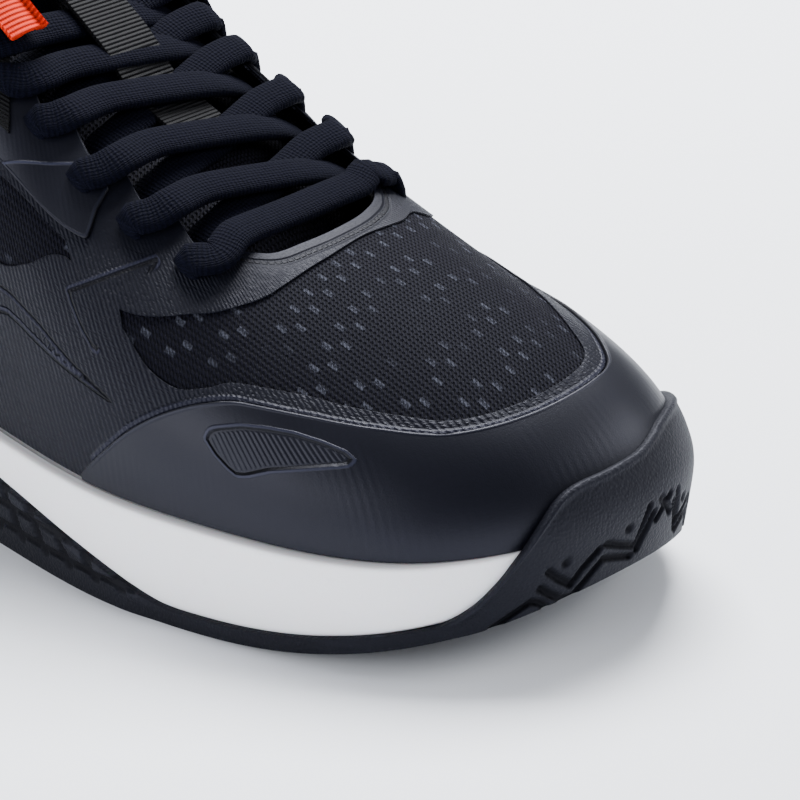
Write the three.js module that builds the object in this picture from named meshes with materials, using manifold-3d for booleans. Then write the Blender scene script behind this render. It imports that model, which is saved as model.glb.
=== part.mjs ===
import * as THREE from "three";
import Module from "manifold-3d";

// Everything is in millimetres. While it is built, x runs from the heel (0) to the toe,
// negative y is the outer side of a right shoe, and z is up from the ground.

// Overall sizes
const shoeSize = { length: 300, width: 107, height: 143 };
const drawnSize = { length: 300, width: 107, height: 143 };
const biteInset = 3.9;

// Sole
const rubberThickness = 3.2;
const rubberInset = 0.2;
const rubberFootInset = 1.6;
const midsoleInset = 1.6;
const midsoleBulge = 0.1;
const wrapInner = 1.1;
const wrapOuter = -0.6;
const guardInner = 2.85;
const guardOuter = 4.5;
const guardRimPerStep = 0.2;
const tread = { width: 2.2, depth: 1.1, reach: 6, teeth: 5 };
const treadRows = [44, 62, 150, 168, 186, 204];
const shank = { from: 96, to: 168, middle: -4, halfWidth: 17, thickness: 1.6 };
const cushion = { x: 46, rx: 30, ry: 20, depth: 6 };
const boardInset = 8.2;
const boardThickness = 1.5;
const sockThickness = 4;
const fitGap = 0.35;

// Layers of the upper, as distances out from the shape that the upper is drawn on
const layers = {
  lining: [-4.0, -3.2],
  stiffener: [-2.65, -1.6],
  base: [-1.1, -0.25],
  film: [0.45, 1.05],
  overlay: [1.65, 2.35],
  strap: [2.95, 3.7],
};
const collarPadding = 6;
const collarRimRadius = 2.8;
const seam = 0.012;

// Laces
const lace = { width: 8, thickness: 2.2, rise: 5.8, underRise: 1.0 };
const eyeletRadius = 3.2;
const liningHoleRadius = 4.6;
const laceInEyelet = { width: 3.4, thickness: 2.2 };
const laceGap = 0.55;
const hiddenRun = 0.68;

// Tongue
const tongue = { thickness: 4.5, drop: 0.5, crown: 0.0172 };
const webbing = { halfWidth: 7.5, thickness: 1.0, from: 163, loopFrom: 152.4, loopTo: 133, top: 88 };

// Stations round the shoe: heel, outer side, toe, inner side. Each holds the sole outline (x, y),
// the top line (x, y, z), the slope at the top line and the lean at the bite line in degrees,
// and how full the section is at its bottom and top.
const stations = [
  [0, 1, 8, 1, 101, 86, 10, 0.33, 0.33],
  [5, -17, 13, -17, 98, 86, 9, 0.33, 0.33],
  [20, -31, 28, -26, 89, 86, 7, 0.33, 0.33],
  [48, -37.5, 52, -31, 80, 84, 5, 0.33, 0.33],
  [88, -38.5, 80, -33, 88, 80, 6, 0.33, 0.33],
  [125, -42, 106, -31, 105, 68, 7, 0.33, 0.36],
  [160, -50.5, 129, -27, 117, 52, 7, 0.34, 0.38],
  [195, -56.5, 155, -26, 100, 43, 7, 0.34, 0.4],
  [225, -56, 181, -26, 86, 38, 6, 0.32, 0.42],
  [252, -51, 202, -25, 76, 31, 6, 0.28, 0.46],
  [276, -40, 211, -18, 72.5, 22, 6, 0.25, 0.52],
  [292, -22, 213, -8, 72.5, 15, 6, 0.24, 0.57],
  [299, 5, 213.5, 2, 73, 13, 5, 0.24, 0.58],
  [294.5, 25, 212.5, 11, 73.5, 15, 5, 0.24, 0.57],
  [281, 39, 209, 19, 74.5, 22, 5, 0.25, 0.52],
  [260, 47, 200, 25, 78, 32, 6, 0.28, 0.46],
  [233, 50.5, 180, 26, 88, 40, 6, 0.32, 0.42],
  [205, 50, 155, 26, 101, 46, 5, 0.34, 0.4],
  [175, 44, 129, 27, 118, 56, 4, 0.34, 0.38],
  [140, 37, 106, 31, 106, 70, 4, 0.33, 0.36],
  [100, 35, 80, 32, 89, 81, 4, 0.33, 0.33],
  [60, 36, 52, 30, 81, 85, 5, 0.33, 0.33],
  [25, 32, 28, 25, 90, 86, 7, 0.33, 0.33],
  [6, 19, 13, 17, 98, 86, 9, 0.33, 0.33],
];
const stationCount = stations.length;
const toeStation = 12;

// Heights along the shoe, as (x, z) pairs
const biteHeights = [[0, 36], [40, 33], [100, 28], [170, 24], [230, 23.5], [265, 23.5], [290, 26.5], [300, 29]];
const groundHeights = [[0, 4], [14, 1], [35, 0], [215, 0], [250, 2], [280, 9], [300, 18]];
const throatHeights = [[70, 127], [100, 124], [129, 117.5], [155, 100.5], [181, 87], [202, 77], [213, 73], [230, 68.5]];

// Half widths of the tongue and how far it sinks under the vamp, as (x, value) pairs
const tongueHalves = [
  [74, 27], [92, 26], [104, 23], [114, 21.5], [125, 20.5], [140, 20], [155, 21], [170, 24.5], [190, 26.5], [206, 24],
  [226, 16],
];
const tongueSinks = [[190, 0], [198, 1.4], [206, 4.2], [213, 7], [226, 7.6]];

// Edges of the panels on the upper, as (station, share of the way up) pairs
const capEdge = [
  [6.8, 0.03], [7.11, 0.13], [7.37, 0.21], [7.77, 0.31], [8.21, 0.4], [8.6, 0.46], [9.24, 0.49],
  [9.9, 0.47], [10.52, 0.43], [11.3, 0.42], [12, 0.43], [12.65, 0.45], [13.2, 0.5], [13.9, 0.54],
  [14.8, 0.53], [15.4, 0.47], [16, 0.37], [16.6, 0.21], [17.2, 0.03],
];
const windowLow = [
  [2.6, 0.4], [4.6, 0.42], [5.2, 0.4], [6.19, 0.43], [6.49, 0.48], [6.8, 0.56], [7.0, 0.58], [7.46, 0.49],
  [7.64, 0.42], [7.91, 0.4], [8.19, 0.44], [8.6, 0.52], [9.27, 0.56], [9.73, 0.54], [10.17, 0.51],
  [10.61, 0.47], [11.3, 0.46], [12.15, 0.48], [12.57, 0.51], [12.93, 0.57], [13.3, 0.61], [13.9, 0.64],
  [14.5, 0.64], [15.2, 0.6], [15.8, 0.52], [16.2, 0.44], [16.5, 0.46], [17.0, 0.58], [17.5, 0.48],
  [18.8, 0.4], [19.4, 0.42], [21.4, 0.4],
];
const windowHigh = [
  [2.6, 0.6], [4.6, 0.58], [5.2, 0.64], [6.42, 0.64], [6.69, 0.635], [7.0, 0.62], [7.46, 0.54], [8.47, 0.7],
  [9.09, 0.81], [10.07, 0.91], [11.09, 0.94], [12.24, 0.95], [13.44, 0.93], [14.3, 0.9], [14.9, 0.82],
  [15.5, 0.71], [16.5, 0.54], [17.0, 0.62], [17.5, 0.64], [18.8, 0.64], [19.4, 0.58], [21.4, 0.6],
];
const filmEnds = [2.6, 21.4];
const windows = [[4.6, 7.0], [7.46, 16.5], [17.0, 19.4]];
const capRecess = [
  [8.13, 0.3], [8.24, 0.34], [8.55, 0.385], [8.98, 0.41], [9.36, 0.4], [9.5, 0.36],
  [9.29, 0.34], [8.85, 0.28], [8.38, 0.21], [8.23, 0.24],
];
const eyestayLow = [[5.35, 0.72], [6.2, 0.68], [7.2, 0.67], [7.42, 0.78], [7.62, 0.87]];
const guardTop = [
  [9.9, 0.12], [10.3, 0.35], [10.55, 0.65], [10.77, 1], [10.97, 1.3], [11.17, 1.55], [11.64, 1.77],
  [12.06, 1.85], [12.5, 1.88], [13, 1.8], [13.4, 1.5], [13.85, 0.9], [14.2, 0.5], [14.7, 0.12],
];
const outerWrapTop = [[3.5, 0.12], [4.2, 0.5], [5.2, 0.72], [6.1, 0.6], [6.8, 0.42], [7.55, 0.17], [7.9, 0.12]];
const innerWrapTop = [[17, 0.12], [17.9, 0.4], [18.8, 0.45], [19.7, 0.12]];

// Eyelets of the outer side from the toe end up, as (station, share of the way up)
const eyelets = [[8.47, 0.82], [7.82, 0.81], [7.3, 0.82], [6.86, 0.86], [6.5, 0.87], [6.17, 0.87], [5.88, 0.86]];
const barRows = 6;
const topRow = 6;

const black = 0x2c2e38;
const finishes = {
  rubber: { color: 0x32333b, roughness: 0.8 },
  foam: { color: 0xf0eff2, roughness: 0.7 },
  film: { color: 0x33353f, roughness: 0.5 },
  mesh: { color: 0x25262f, roughness: 0.9 },
  cap: { color: black, roughness: 0.45 },
  plastic: { color: 0x3b3d46, roughness: 0.4 },
  board: { color: 0x8d8a80, roughness: 0.9 },
  lining: { color: 0x1d1e25, roughness: 0.95 },
  padding: { color: 0x5a5b60, roughness: 0.95 },
  lace: { color: 0x14151f, roughness: 0.85 },
  webbing: { color: 0x3c3c42, roughness: 0.8 },
  orange: { color: 0xff5a2a, roughness: 0.8 },
  clear: { color: 0x16171c, roughness: 0.25 },
};

// A smooth curve through (x, value) pairs, flat beyond its ends.
function curveAt(pairs, x) {
  const last = pairs.length - 1;
  if (x <= pairs[0][0]) return pairs[0][1];
  if (x >= pairs[last][0]) return pairs[last][1];
  let i = 0;
  while (pairs[i + 1][0] < x) i += 1;
  const slope = (k) => {
    const a = pairs[Math.max(k - 1, 0)];
    const b = pairs[Math.min(k + 1, last)];
    return (b[1] - a[1]) / (b[0] - a[0]);
  };
  const [x0, y0] = pairs[i];
  const [x1, y1] = pairs[i + 1];
  const h = x1 - x0;
  const t = (x - x0) / h;
  const rest = 1 - t;
  const ends = y0 * rest * rest * (1 + 2 * t) + y1 * t * t * (1 + 2 * rest);
  return ends + h * t * rest * (slope(i) * rest - slope(i + 1) * t);
}

// One column of the stations at any place round the shoe.
function around(column, u) {
  const place = ((u % stationCount) + stationCount) % stationCount;
  const i = Math.floor(place);
  const t = place - i;
  const at = (k) => stations[(i + k + stationCount) % stationCount][column];
  const [a, b, c, d] = [at(-1), at(0), at(1), at(2)];
  const cubic = (3 * b - 3 * c + d - a) * t * t * t;
  return 0.5 * (2 * b + (c - a) * t + (2 * a - 5 * b + 4 * c - d) * t * t + cubic);
}

function outlineAt(u, inset) {
  const step = 0.01;
  const point = (place) => [around(0, place), around(1, place)];
  const [x, y] = point(u);
  const [xa, ya] = point(u - step);
  const [xb, yb] = point(u + step);
  const size = Math.hypot(xb - xa, yb - ya);
  const out = [(yb - ya) / size, (xa - xb) / size];
  return { x: x - out[0] * inset, y: y - out[1] * inset, out };
}

const biteAt = (x) => curveAt(biteHeights, x);
const groundAt = (x) => Math.max(0, curveAt(groundHeights, x));
const throatAt = (x) => curveAt(throatHeights, x);

// A point that far off the line of the throat, square to its slope.
function overThroat(x, y, height) {
  const rise = (throatAt(x - 3) - throatAt(x + 3)) / 6;
  const size = Math.hypot(1, rise);
  return new THREE.Vector3(x + height * rise / size, y, throatAt(x) + height / size);
}

// A point on the shape of the upper: u round the shoe, v from the bite line to the top line.
function upperShape(u, v) {
  const edge = outlineAt(u, biteInset);
  const low = new THREE.Vector3(edge.x, edge.y, biteAt(edge.x));
  const high = new THREE.Vector3(around(2, u), around(3, u), around(4, u));
  const slope = THREE.MathUtils.degToRad(around(5, u));
  const lean = THREE.MathUtils.degToRad(around(6, u));
  const chord = low.distanceTo(high);
  const away = new THREE.Vector2(low.x - high.x, low.y - high.y).normalize();
  const upright = THREE.MathUtils.clamp((around(5, u) - 60) / 20, 0, 1);
  away.lerp(new THREE.Vector2(edge.out[0], edge.out[1]), upright).normalize();
  const fromTop = new THREE.Vector3(away.x * Math.cos(slope), away.y * Math.cos(slope), -Math.sin(slope));
  const leanOut = Math.sin(lean);
  const fromLow = new THREE.Vector3(edge.out[0] * leanOut, edge.out[1] * leanOut, Math.cos(lean));
  const a = low.clone().addScaledVector(fromLow, chord * around(7, u));
  const b = high.clone().addScaledVector(fromTop, chord * around(8, u));
  return new THREE.CubicBezierCurve3(low, a, b, high).getPoint(v);
}

function upperNormal(u, v) {
  const du = upperShape(u + 0.02, v).sub(upperShape(u - 0.02, v));
  const dv = upperShape(u, Math.min(v + 0.01, 1)).sub(upperShape(u, Math.max(v - 0.01, 0)));
  return du.cross(dv).normalize();
}

function upperPoint(u, v, offset) {
  return upperShape(u, v).addScaledVector(upperNormal(u, v), offset);
}

// A point on the side of the sole: 0 is the ground, 1 the bite line, and above 1 it follows the upper.
function wallPoint(u, height, inset, aboveBite) {
  if (height > 1) return upperPoint(u, (height - 1) * guardRimPerStep, aboveBite);
  const edge = outlineAt(u, inset);
  const low = groundAt(edge.x) + 0.6;
  return new THREE.Vector3(edge.x, edge.y, low + (biteAt(edge.x) - low) * height);
}

// Collects triangles and leaves out those that have no area.
class Skin {
  constructor() {
    this.numbers = [];
  }

  triangle(a, b, c) {
    const area = b.clone().sub(a).cross(c.clone().sub(a)).length();
    if (area > 1e-4) this.numbers.push(...a.toArray(), ...b.toArray(), ...c.toArray());
  }

  quad(a, b, c, d) {
    this.triangle(a, b, c);
    this.triangle(a, c, d);
  }

  geometry() {
    const made = new THREE.BufferGeometry();
    made.setAttribute("position", new THREE.Float32BufferAttribute(this.numbers, 3));
    made.computeVertexNormals();
    return made;
  }
}

// A closed sheet with cells left out where keep says no. point(i, j, side) gives its corners, side 1 outside.
function sheet(nu, nv, point, keep = () => true) {
  const skin = new Skin();
  const corner = [0, 1].map((side) => {
    const rows = [];
    for (let i = 0; i <= nu; i += 1) {
      rows.push([]);
      for (let j = 0; j <= nv; j += 1) rows[i].push(point(i, j, side));
    }
    return rows;
  });
  const kept = (i, j) => i >= 0 && j >= 0 && i < nu && j < nv && keep(i, j);
  for (let i = 0; i < nu; i += 1) {
    for (let j = 0; j < nv; j += 1) {
      if (!kept(i, j)) continue;
      const ring = [[i, j], [i + 1, j], [i + 1, j + 1], [i, j + 1]];
      const beyond = [[i, j - 1], [i + 1, j], [i, j + 1], [i - 1, j]];
      const outer = ring.map(([a, b]) => corner[1][a][b]);
      const inner = ring.map(([a, b]) => corner[0][a][b]);
      skin.quad(...outer);
      skin.quad(inner[3], inner[2], inner[1], inner[0]);
      for (let k = 0; k < 4; k += 1) {
        const next = (k + 1) % 4;
        if (!kept(...beyond[k])) skin.quad(outer[next], outer[k], inner[k], inner[next]);
      }
    }
  }
  return skin.geometry();
}

const mix = (a, b, t) => a + (b - a) * t;

// Columns that all the panels share, so that layers with small gaps bend at the same places.
const columns = windows.flat();
for (let u = -6; u < 9.5; u += 0.5) columns.push(u);
for (let u = 9.5; u < 14.5; u += 0.3125) columns.push(u);
for (let u = 14.5; u <= 24; u += 0.5) columns.push(u);
columns.sort((a, b) => a - b);

function columnsBetween(from, to, apart = 0.12) {
  const inside = columns.filter((u) => u > from + apart && u < to - apart);
  return [from, ...inside, to];
}

// A panel on the upper between two stations, from one height curve to another.
function panel([from, to], low, high, rows, [inner, outer]) {
  const places = columnsBetween(from, to);
  return sheet(places.length - 1, rows, (i, j, side) => {
    const u = places[i];
    const v = mix(low(u), high(u), j / rows);
    const offset = side ? outer : inner;
    return upperPoint(u, v, typeof offset === "function" ? offset(u, v) : offset);
  });
}

// Places along the sole in pairs, one on each side at the same distance from the heel.
const soleSteps = 42;
const solePairs = [];
for (let k = 0; k <= soleSteps; k += 1) {
  const outer = toeStation * k / soleSteps;
  const x = outlineAt(outer, 0).x;
  let low = toeStation;
  let high = stationCount;
  for (let n = 0; n < 40; n += 1) {
    const middle = (low + high) / 2;
    if (outlineAt(middle, 0).x > x) low = middle;
    else high = middle;
  }
  const inner = k === 0 ? 0 : k === soleSteps ? toeStation : low;
  solePairs.push([outer, inner]);
}
const soleRing = [...solePairs.map((pair) => pair[0]), ...solePairs.slice(1, -1).map((pair) => pair[1]).reverse()];

function ringBetween(from, to) {
  return [from, ...soleRing.filter((u) => u > from + 0.05 && u < to - 0.05), to];
}

// A solid in the shape of the sole. Each row has an inset and a height for every x, from the bottom up.
function soleSolid(rows) {
  const skin = new Skin();
  const place = (row, k, side) => {
    const edge = outlineAt(solePairs[k][side], row.inset);
    return new THREE.Vector3(edge.x, edge.y, row.height(edge.x));
  };
  for (let r = 0; r + 1 < rows.length; r += 1) {
    for (let k = 0; k < soleSteps; k += 1) {
      const [a, b] = [rows[r], rows[r + 1]];
      skin.quad(place(a, k, 0), place(a, k + 1, 0), place(b, k + 1, 0), place(b, k, 0));
      skin.quad(place(a, k + 1, 1), place(a, k, 1), place(b, k, 1), place(b, k + 1, 1));
    }
  }
  const bottom = rows[0];
  const top = rows[rows.length - 1];
  for (let k = 0; k < soleSteps; k += 1) {
    const corners = (row) => [place(row, k, 0), place(row, k + 1, 0), place(row, k + 1, 1), place(row, k, 1)];
    skin.quad(...corners(top));
    skin.quad(...corners(bottom).reverse());
  }
  return skin.geometry();
}

// A strip with an oval section along a line of points. Each point has a centre, a width direction and its sizes.
function strip(line, sides = 6) {
  const skin = new Skin();
  const rings = line.map((here, k) => {
    const before = line[Math.max(k - 1, 0)].centre;
    const after = line[Math.min(k + 1, line.length - 1)].centre;
    const along = after.clone().sub(before).normalize();
    const wide = here.across.clone().addScaledVector(along, -here.across.dot(along)).normalize();
    const thick = along.clone().cross(wide);
    const ring = [];
    for (let s = 0; s < sides; s += 1) {
      const angle = (s + 0.5) / sides * 2 * Math.PI;
      const fit = 1 / Math.cos(Math.PI / sides);
      const point = here.centre.clone();
      point.addScaledVector(wide, Math.cos(angle) * here.width / 2 * fit);
      point.addScaledVector(thick, Math.sin(angle) * here.thickness / 2 * fit);
      ring.push(point);
    }
    return ring;
  });
  for (let k = 0; k + 1 < rings.length; k += 1) {
    for (let s = 0; s < sides; s += 1) {
      const next = (s + 1) % sides;
      skin.quad(rings[k][s], rings[k][next], rings[k + 1][next], rings[k + 1][s]);
    }
  }
  const close = (ring, centre, turn) => {
    for (let s = 0; s < sides; s += 1) {
      const next = (s + 1) % sides;
      if (turn) skin.triangle(centre, ring[next], ring[s]);
      else skin.triangle(centre, ring[s], ring[next]);
    }
  };
  close(rings[0], line[0].centre, true);
  close(rings[rings.length - 1], line[line.length - 1].centre, false);
  return skin.geometry();
}

const wasm = await Module();
wasm.setup();

function toSolid(geometry) {
  const plain = geometry.index ? geometry.toNonIndexed() : geometry;
  const source = plain.getAttribute("position");
  const known = new Map();
  const vertices = [];
  const triangles = [];
  for (let i = 0; i < source.count; i += 1) {
    const point = [source.getX(i), source.getY(i), source.getZ(i)];
    const key = point.map((n) => Math.round(n * 2000)).join(" ");
    if (!known.has(key)) {
      known.set(key, vertices.length / 3);
      vertices.push(...point);
    }
    triangles.push(known.get(key));
  }
  const numbers = [];
  for (let i = 0; i < triangles.length; i += 3) {
    const [a, b, c] = triangles.slice(i, i + 3);
    if (a !== b && b !== c && a !== c) numbers.push(a, b, c);
  }
  const mesh = new wasm.Mesh({
    numProp: 3,
    vertProperties: new Float32Array(vertices),
    triVerts: new Uint32Array(numbers),
  });
  return new wasm.Manifold(mesh);
}

function fromSolid(solid) {
  const mesh = solid.getMesh();
  const made = new THREE.BufferGeometry();
  const points = [];
  for (let i = 0; i < mesh.vertProperties.length; i += mesh.numProp) {
    points.push(mesh.vertProperties[i], mesh.vertProperties[i + 1], mesh.vertProperties[i + 2]);
  }
  made.setAttribute("position", new THREE.Float32BufferAttribute(points, 3));
  made.setIndex(Array.from(mesh.triVerts));
  made.computeVertexNormals();
  return made;
}

function cut(geometry, tools) {
  let solid = toSolid(geometry);
  for (const tool of tools) solid = solid.subtract(toSolid(tool));
  return fromSolid(solid);
}

// Sole pieces

function treadTools() {
  return treadRows.map((x) => {
    const shape = new THREE.Shape();
    const half = 70;
    const points = [];
    for (let k = 0; k <= tread.teeth * 2; k += 1) {
      points.push([x + (k % 2 ? tread.reach : 0), mix(-half, half, k / (tread.teeth * 2))]);
    }
    shape.moveTo(...points[0]);
    for (const point of points.slice(1)) shape.lineTo(...point);
    for (const point of points.reverse()) shape.lineTo(point[0] + tread.width, point[1]);
    const groove = new THREE.ExtrudeGeometry(shape, { depth: tread.depth * 2, bevelEnabled: false });
    return groove.translate(0, 0, -tread.depth);
  });
}

function soleWrap(top, rows) {
  const places = ringBetween(top[0][0], top[top.length - 1][0]);
  return sheet(places.length - 1, rows, (i, j, side) => {
    return wallPoint(places[i], curveAt(top, places[i]) * j / rows, side ? wrapOuter : wrapInner, 0);
  });
}

function toeGuard() {
  const places = ringBetween(guardTop[0][0], guardTop[guardTop.length - 1][0]);
  const rows = 6;
  return sheet(places.length - 1, rows, (i, j, side) => {
    const height = curveAt(guardTop, places[i]) * j / rows;
    const atBite = biteInset - (side ? guardOuter : guardInner);
    const inset = mix(side ? wrapOuter : wrapInner, atBite, Math.min(height, 1));
    return wallPoint(places[i], height, inset, side ? guardOuter : guardInner);
  });
}

function outsole() {
  const slab = soleSolid([
    { inset: rubberFootInset, height: groundAt },
    { inset: rubberInset, height: (x) => groundAt(x) + 1.2 },
    { inset: rubberInset, height: (x) => groundAt(x) + rubberThickness },
  ]);
  let solid = toSolid(slab);
  for (const piece of [toeGuard(), soleWrap(outerWrapTop, 1), soleWrap(innerWrapTop, 1)]) {
    solid = solid.add(toSolid(piece));
  }
  for (const groove of treadTools()) solid = solid.subtract(toSolid(groove));
  return fromSolid(solid);
}

const midsoleFloor = (x) => groundAt(x) + rubberThickness + fitGap;
const midsoleTop = (x) => biteAt(x) - fitGap;

function midsole() {
  const body = soleSolid([
    { inset: midsoleInset + 0.3, height: midsoleFloor },
    { inset: midsoleInset - midsoleBulge, height: (x) => mix(midsoleFloor(x), midsoleTop(x), 0.45) },
    { inset: midsoleInset, height: midsoleTop },
  ]);
  const length = shank.to - shank.from + fitGap * 2;
  const shankPocket = new THREE.BoxGeometry(length, (shank.halfWidth + fitGap) * 2, (shank.thickness + fitGap) * 2);
  shankPocket.translate((shank.from + shank.to) / 2, shank.middle, rubberThickness + fitGap);
  const cushionPocket = new THREE.CylinderGeometry(1, 1, cushion.depth + fitGap + 4, 20);
  cushionPocket.rotateX(Math.PI / 2);
  cushionPocket.scale(cushion.rx + fitGap, cushion.ry + fitGap, 1);
  cushionPocket.translate(cushion.x, 1, midsoleTop(cushion.x) - (cushion.depth + fitGap - 4) / 2);
  return cut(body, [shankPocket, cushionPocket]);
}

function midfootShank() {
  const plate = new THREE.BoxGeometry(shank.to - shank.from, shank.halfWidth * 2, shank.thickness);
  return plate.translate((shank.from + shank.to) / 2, shank.middle, rubberThickness + fitGap + shank.thickness / 2);
}

function heelCushion() {
  const pad = new THREE.CylinderGeometry(1, 1, cushion.depth - 2.4, 20);
  pad.rotateX(Math.PI / 2);
  pad.scale(cushion.rx, cushion.ry, 1);
  return pad.translate(cushion.x, 1, midsoleTop(cushion.x) - (cushion.depth + 2.4) / 2);
}

function insoleBoard() {
  return soleSolid([
    { inset: boardInset, height: (x) => biteAt(x) + 0.1 },
    { inset: boardInset, height: (x) => biteAt(x) + 0.1 + boardThickness },
  ]);
}

function sockliner() {
  const floor = (x) => biteAt(x) + 0.1 + boardThickness + fitGap;
  return soleSolid([
    { inset: boardInset + 0.6, height: floor },
    { inset: boardInset + 0.2, height: (x) => floor(x) + sockThickness * 0.6 },
    { inset: boardInset + 1.2, height: (x) => floor(x) + sockThickness },
  ]);
}

// Pieces of the upper

const allEyelets = [...eyelets, ...eyelets.map(([u, v]) => [stationCount - u, v])];

function eyeletTools(places, radius = eyeletRadius) {
  return places.map(([u, v]) => {
    const tool = new THREE.CylinderGeometry(radius, radius, 16, 6);
    tool.applyQuaternion(new THREE.Quaternion().setFromUnitVectors(new THREE.Vector3(0, 1, 0), upperNormal(u, v)));
    return tool.translate(...upperShape(u, v).toArray());
  });
}

const eyeletsBetween = (from, to) => allEyelets.filter(([u]) => u > from + 0.1 && u < to - 0.1);

// The throat edge dips between the eyelets.
function throatEdge(u) {
  const side = Math.min(u, stationCount - u);
  if (side < 5.9 || side > 9.0) return 0.985;
  const dips = [6.02, 6.32, 6.66, 7.05, 7.5, 8.05, 8.68];
  const nearest = Math.min(...dips.map((place) => Math.abs(place - side)));
  return 0.985 - 0.05 * Math.exp(-((nearest / 0.16) ** 2));
}

const vampSpan = [5.6, 18.4];
const eyestaySpan = [5.35, 7.62];

function vampMesh() {
  const body = panel(vampSpan, () => 0, (u) => throatEdge(u) - 0.004, 9, layers.base);
  return cut(body, eyeletTools(eyeletsBetween(...vampSpan)));
}

function quarterBase(outer) {
  const span = outer ? [seam, vampSpan[0] - seam] : [vampSpan[1] + seam, stationCount - seam];
  return panel(span, () => 0, () => 0.98, 6, layers.base);
}

function filmOverlay() {
  const places = columnsBetween(...filmEnds);
  const open = (i) => windows.some(([from, to]) => places[i] >= from - 1e-6 && places[i + 1] <= to + 1e-6);
  const levels = [[0, 0], [0, 0.25], [0, 0.5], [0, 0.75], [1, 0], [1, 1], [2, 0.33], [2, 0.67], [3, 0]];
  const point = (i, j, side) => {
    const u = places[i];
    const marks = [0.012, curveAt(windowLow, u), curveAt(windowHigh, u), throatEdge(u)];
    const [band, share] = levels[j];
    const low = marks[band];
    const v = band === 3 ? low : mix(low, marks[band + 1], share);
    return upperPoint(u, v, layers.film[side]);
  };
  const body = sheet(places.length - 1, levels.length - 1, point, (i, j) => !(open(i) && j === 4));
  return cut(body, eyeletTools(allEyelets));
}

function toeCap() {
  const ends = [capEdge[0][0], capEdge[capEdge.length - 1][0]];
  const body = panel(ends, () => 0.012, (u) => curveAt(capEdge, u), 5, layers.overlay);
  const skin = new Skin();
  const rim = capRecess.slice().reverse();
  const low = rim.map(([u, v]) => upperPoint(u, v, layers.film[1] + 0.1));
  const high = rim.map(([u, v]) => upperPoint(u, v, 6));
  const flat = rim.map(([u, v]) => new THREE.Vector2(u, v));
  for (const face of THREE.ShapeUtils.triangulateShape(flat, [])) {
    const turned = THREE.ShapeUtils.area(face.map((k) => flat[k])) > 0 ? face : face.slice().reverse();
    const [a, b, c] = turned;
    skin.triangle(high[a], high[b], high[c]);
    skin.triangle(low[c], low[b], low[a]);
  }
  for (let k = 0; k < rim.length; k += 1) {
    const next = (k + 1) % rim.length;
    skin.quad(low[k], low[next], high[next], high[k]);
  }
  return cut(body, [skin.geometry()]);
}

function eyestay(outer) {
  const flip = (u) => (outer ? u : stationCount - u);
  const [from, to] = outer ? eyestaySpan : [flip(eyestaySpan[1]), flip(eyestaySpan[0])];
  const body = panel([from, to], (u) => curveAt(eyestayLow, flip(u)), throatEdge, 5, layers.overlay);
  return cut(body, eyeletTools(eyeletsBetween(from, to)));
}

function supportStrap(outer) {
  const middle = outer ? eyelets[4][0] : stationCount - eyelets[4][0];
  return panel([middle - 0.16, middle + 0.16], () => 0.46, () => 0.78, 5, layers.strap);
}

const padShare = (v) => Math.sin(Math.PI * THREE.MathUtils.clamp((v - 0.45) / 0.55, 0, 1)) ** 0.8;

// How much the padding pushes the lining in round the collar.
function padding(u, v) {
  const place = ((u % stationCount) + stationCount) % stationCount;
  const side = Math.min(place, stationCount - place);
  const along = THREE.MathUtils.clamp((5.2 - side) / 1.2, 0, 1);
  return collarPadding * padShare(v) * along;
}

function lining(from, to) {
  const inner = (u, v) => layers.lining[0] - padding(u, v);
  const outer = (u, v) => layers.lining[1] - padding(u, v);
  return panel([from, to], () => 0.02, (u) => throatEdge(u) - 0.01, 7, [inner, outer]);
}

function collarPad() {
  const inner = (u, v) => layers.lining[1] + 0.6 - 0.88 * padding(u, v);
  return panel([-4.4, 4.4], () => 0.52, () => 0.93, 4, [inner, layers.base[0] - 0.6]);
}

function heelCounter() {
  return panel([-3.4, 3.4], () => 0.03, () => 0.44, 3, layers.stiffener);
}

function toePuff() {
  return panel([8.6, 15.4], () => 0.03, () => 0.36, 3, layers.stiffener);
}

function heelClip() {
  const top = (u) => 0.5 - 0.06 * u * u;
  return panel([-2.4, 2.4], () => 0.012, top, 3, [layers.film[0] + 0.05, layers.overlay[1] + 0.4]);
}

function collarRim() {
  const middle = (layers.lining[0] + layers.film[1]) / 2;
  const line = columnsBetween(-5.2, 5.2).reverse().map((u) => {
    const up = upperShape(u, 1).sub(upperShape(u, 0.97)).normalize();
    const centre = upperPoint(u, 1, middle).addScaledVector(up, collarRimRadius + 0.3);
    return { centre, across: up, width: collarRimRadius * 2, thickness: collarRimRadius * 2 };
  });
  return strip(line);
}

function heelTab() {
  const low = [0.6, 0.72, 0.84, 0.94].map((v) => upperPoint(0, v, 0.9 + Math.max(0, v - 0.84) * 22));
  const top = low[3];
  const high = [[-1.5, 6], [-2, 13], [0.5, 17.5], [4.5, 18.5], [8, 16]];
  const line = [...low, ...high.map(([x, z]) => new THREE.Vector3(top.x + x, top.y, top.z + z))];
  const across = new THREE.Vector3(0, 1, 0);
  return strip(line.map((centre) => ({ centre, across, width: 14, thickness: 1.4 })));
}

// Tongue

const tongueTopAt = (y) => -tongue.drop - tongue.crown * y * y;

function tonguePanel() {
  const [from, to] = [226, 74];
  return sheet(13, 6, (i, j, side) => {
    const x = mix(from, to, i / 13);
    const y = curveAt(tongueHalves, x) * mix(1, -1, j / 6);
    const top = tongueTopAt(y) - curveAt(tongueSinks, x);
    return overThroat(x, y, side ? top : top - tongue.thickness);
  });
}

const laceRows = eyelets.map(([u, v]) => upperShape(u, v).x);

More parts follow.
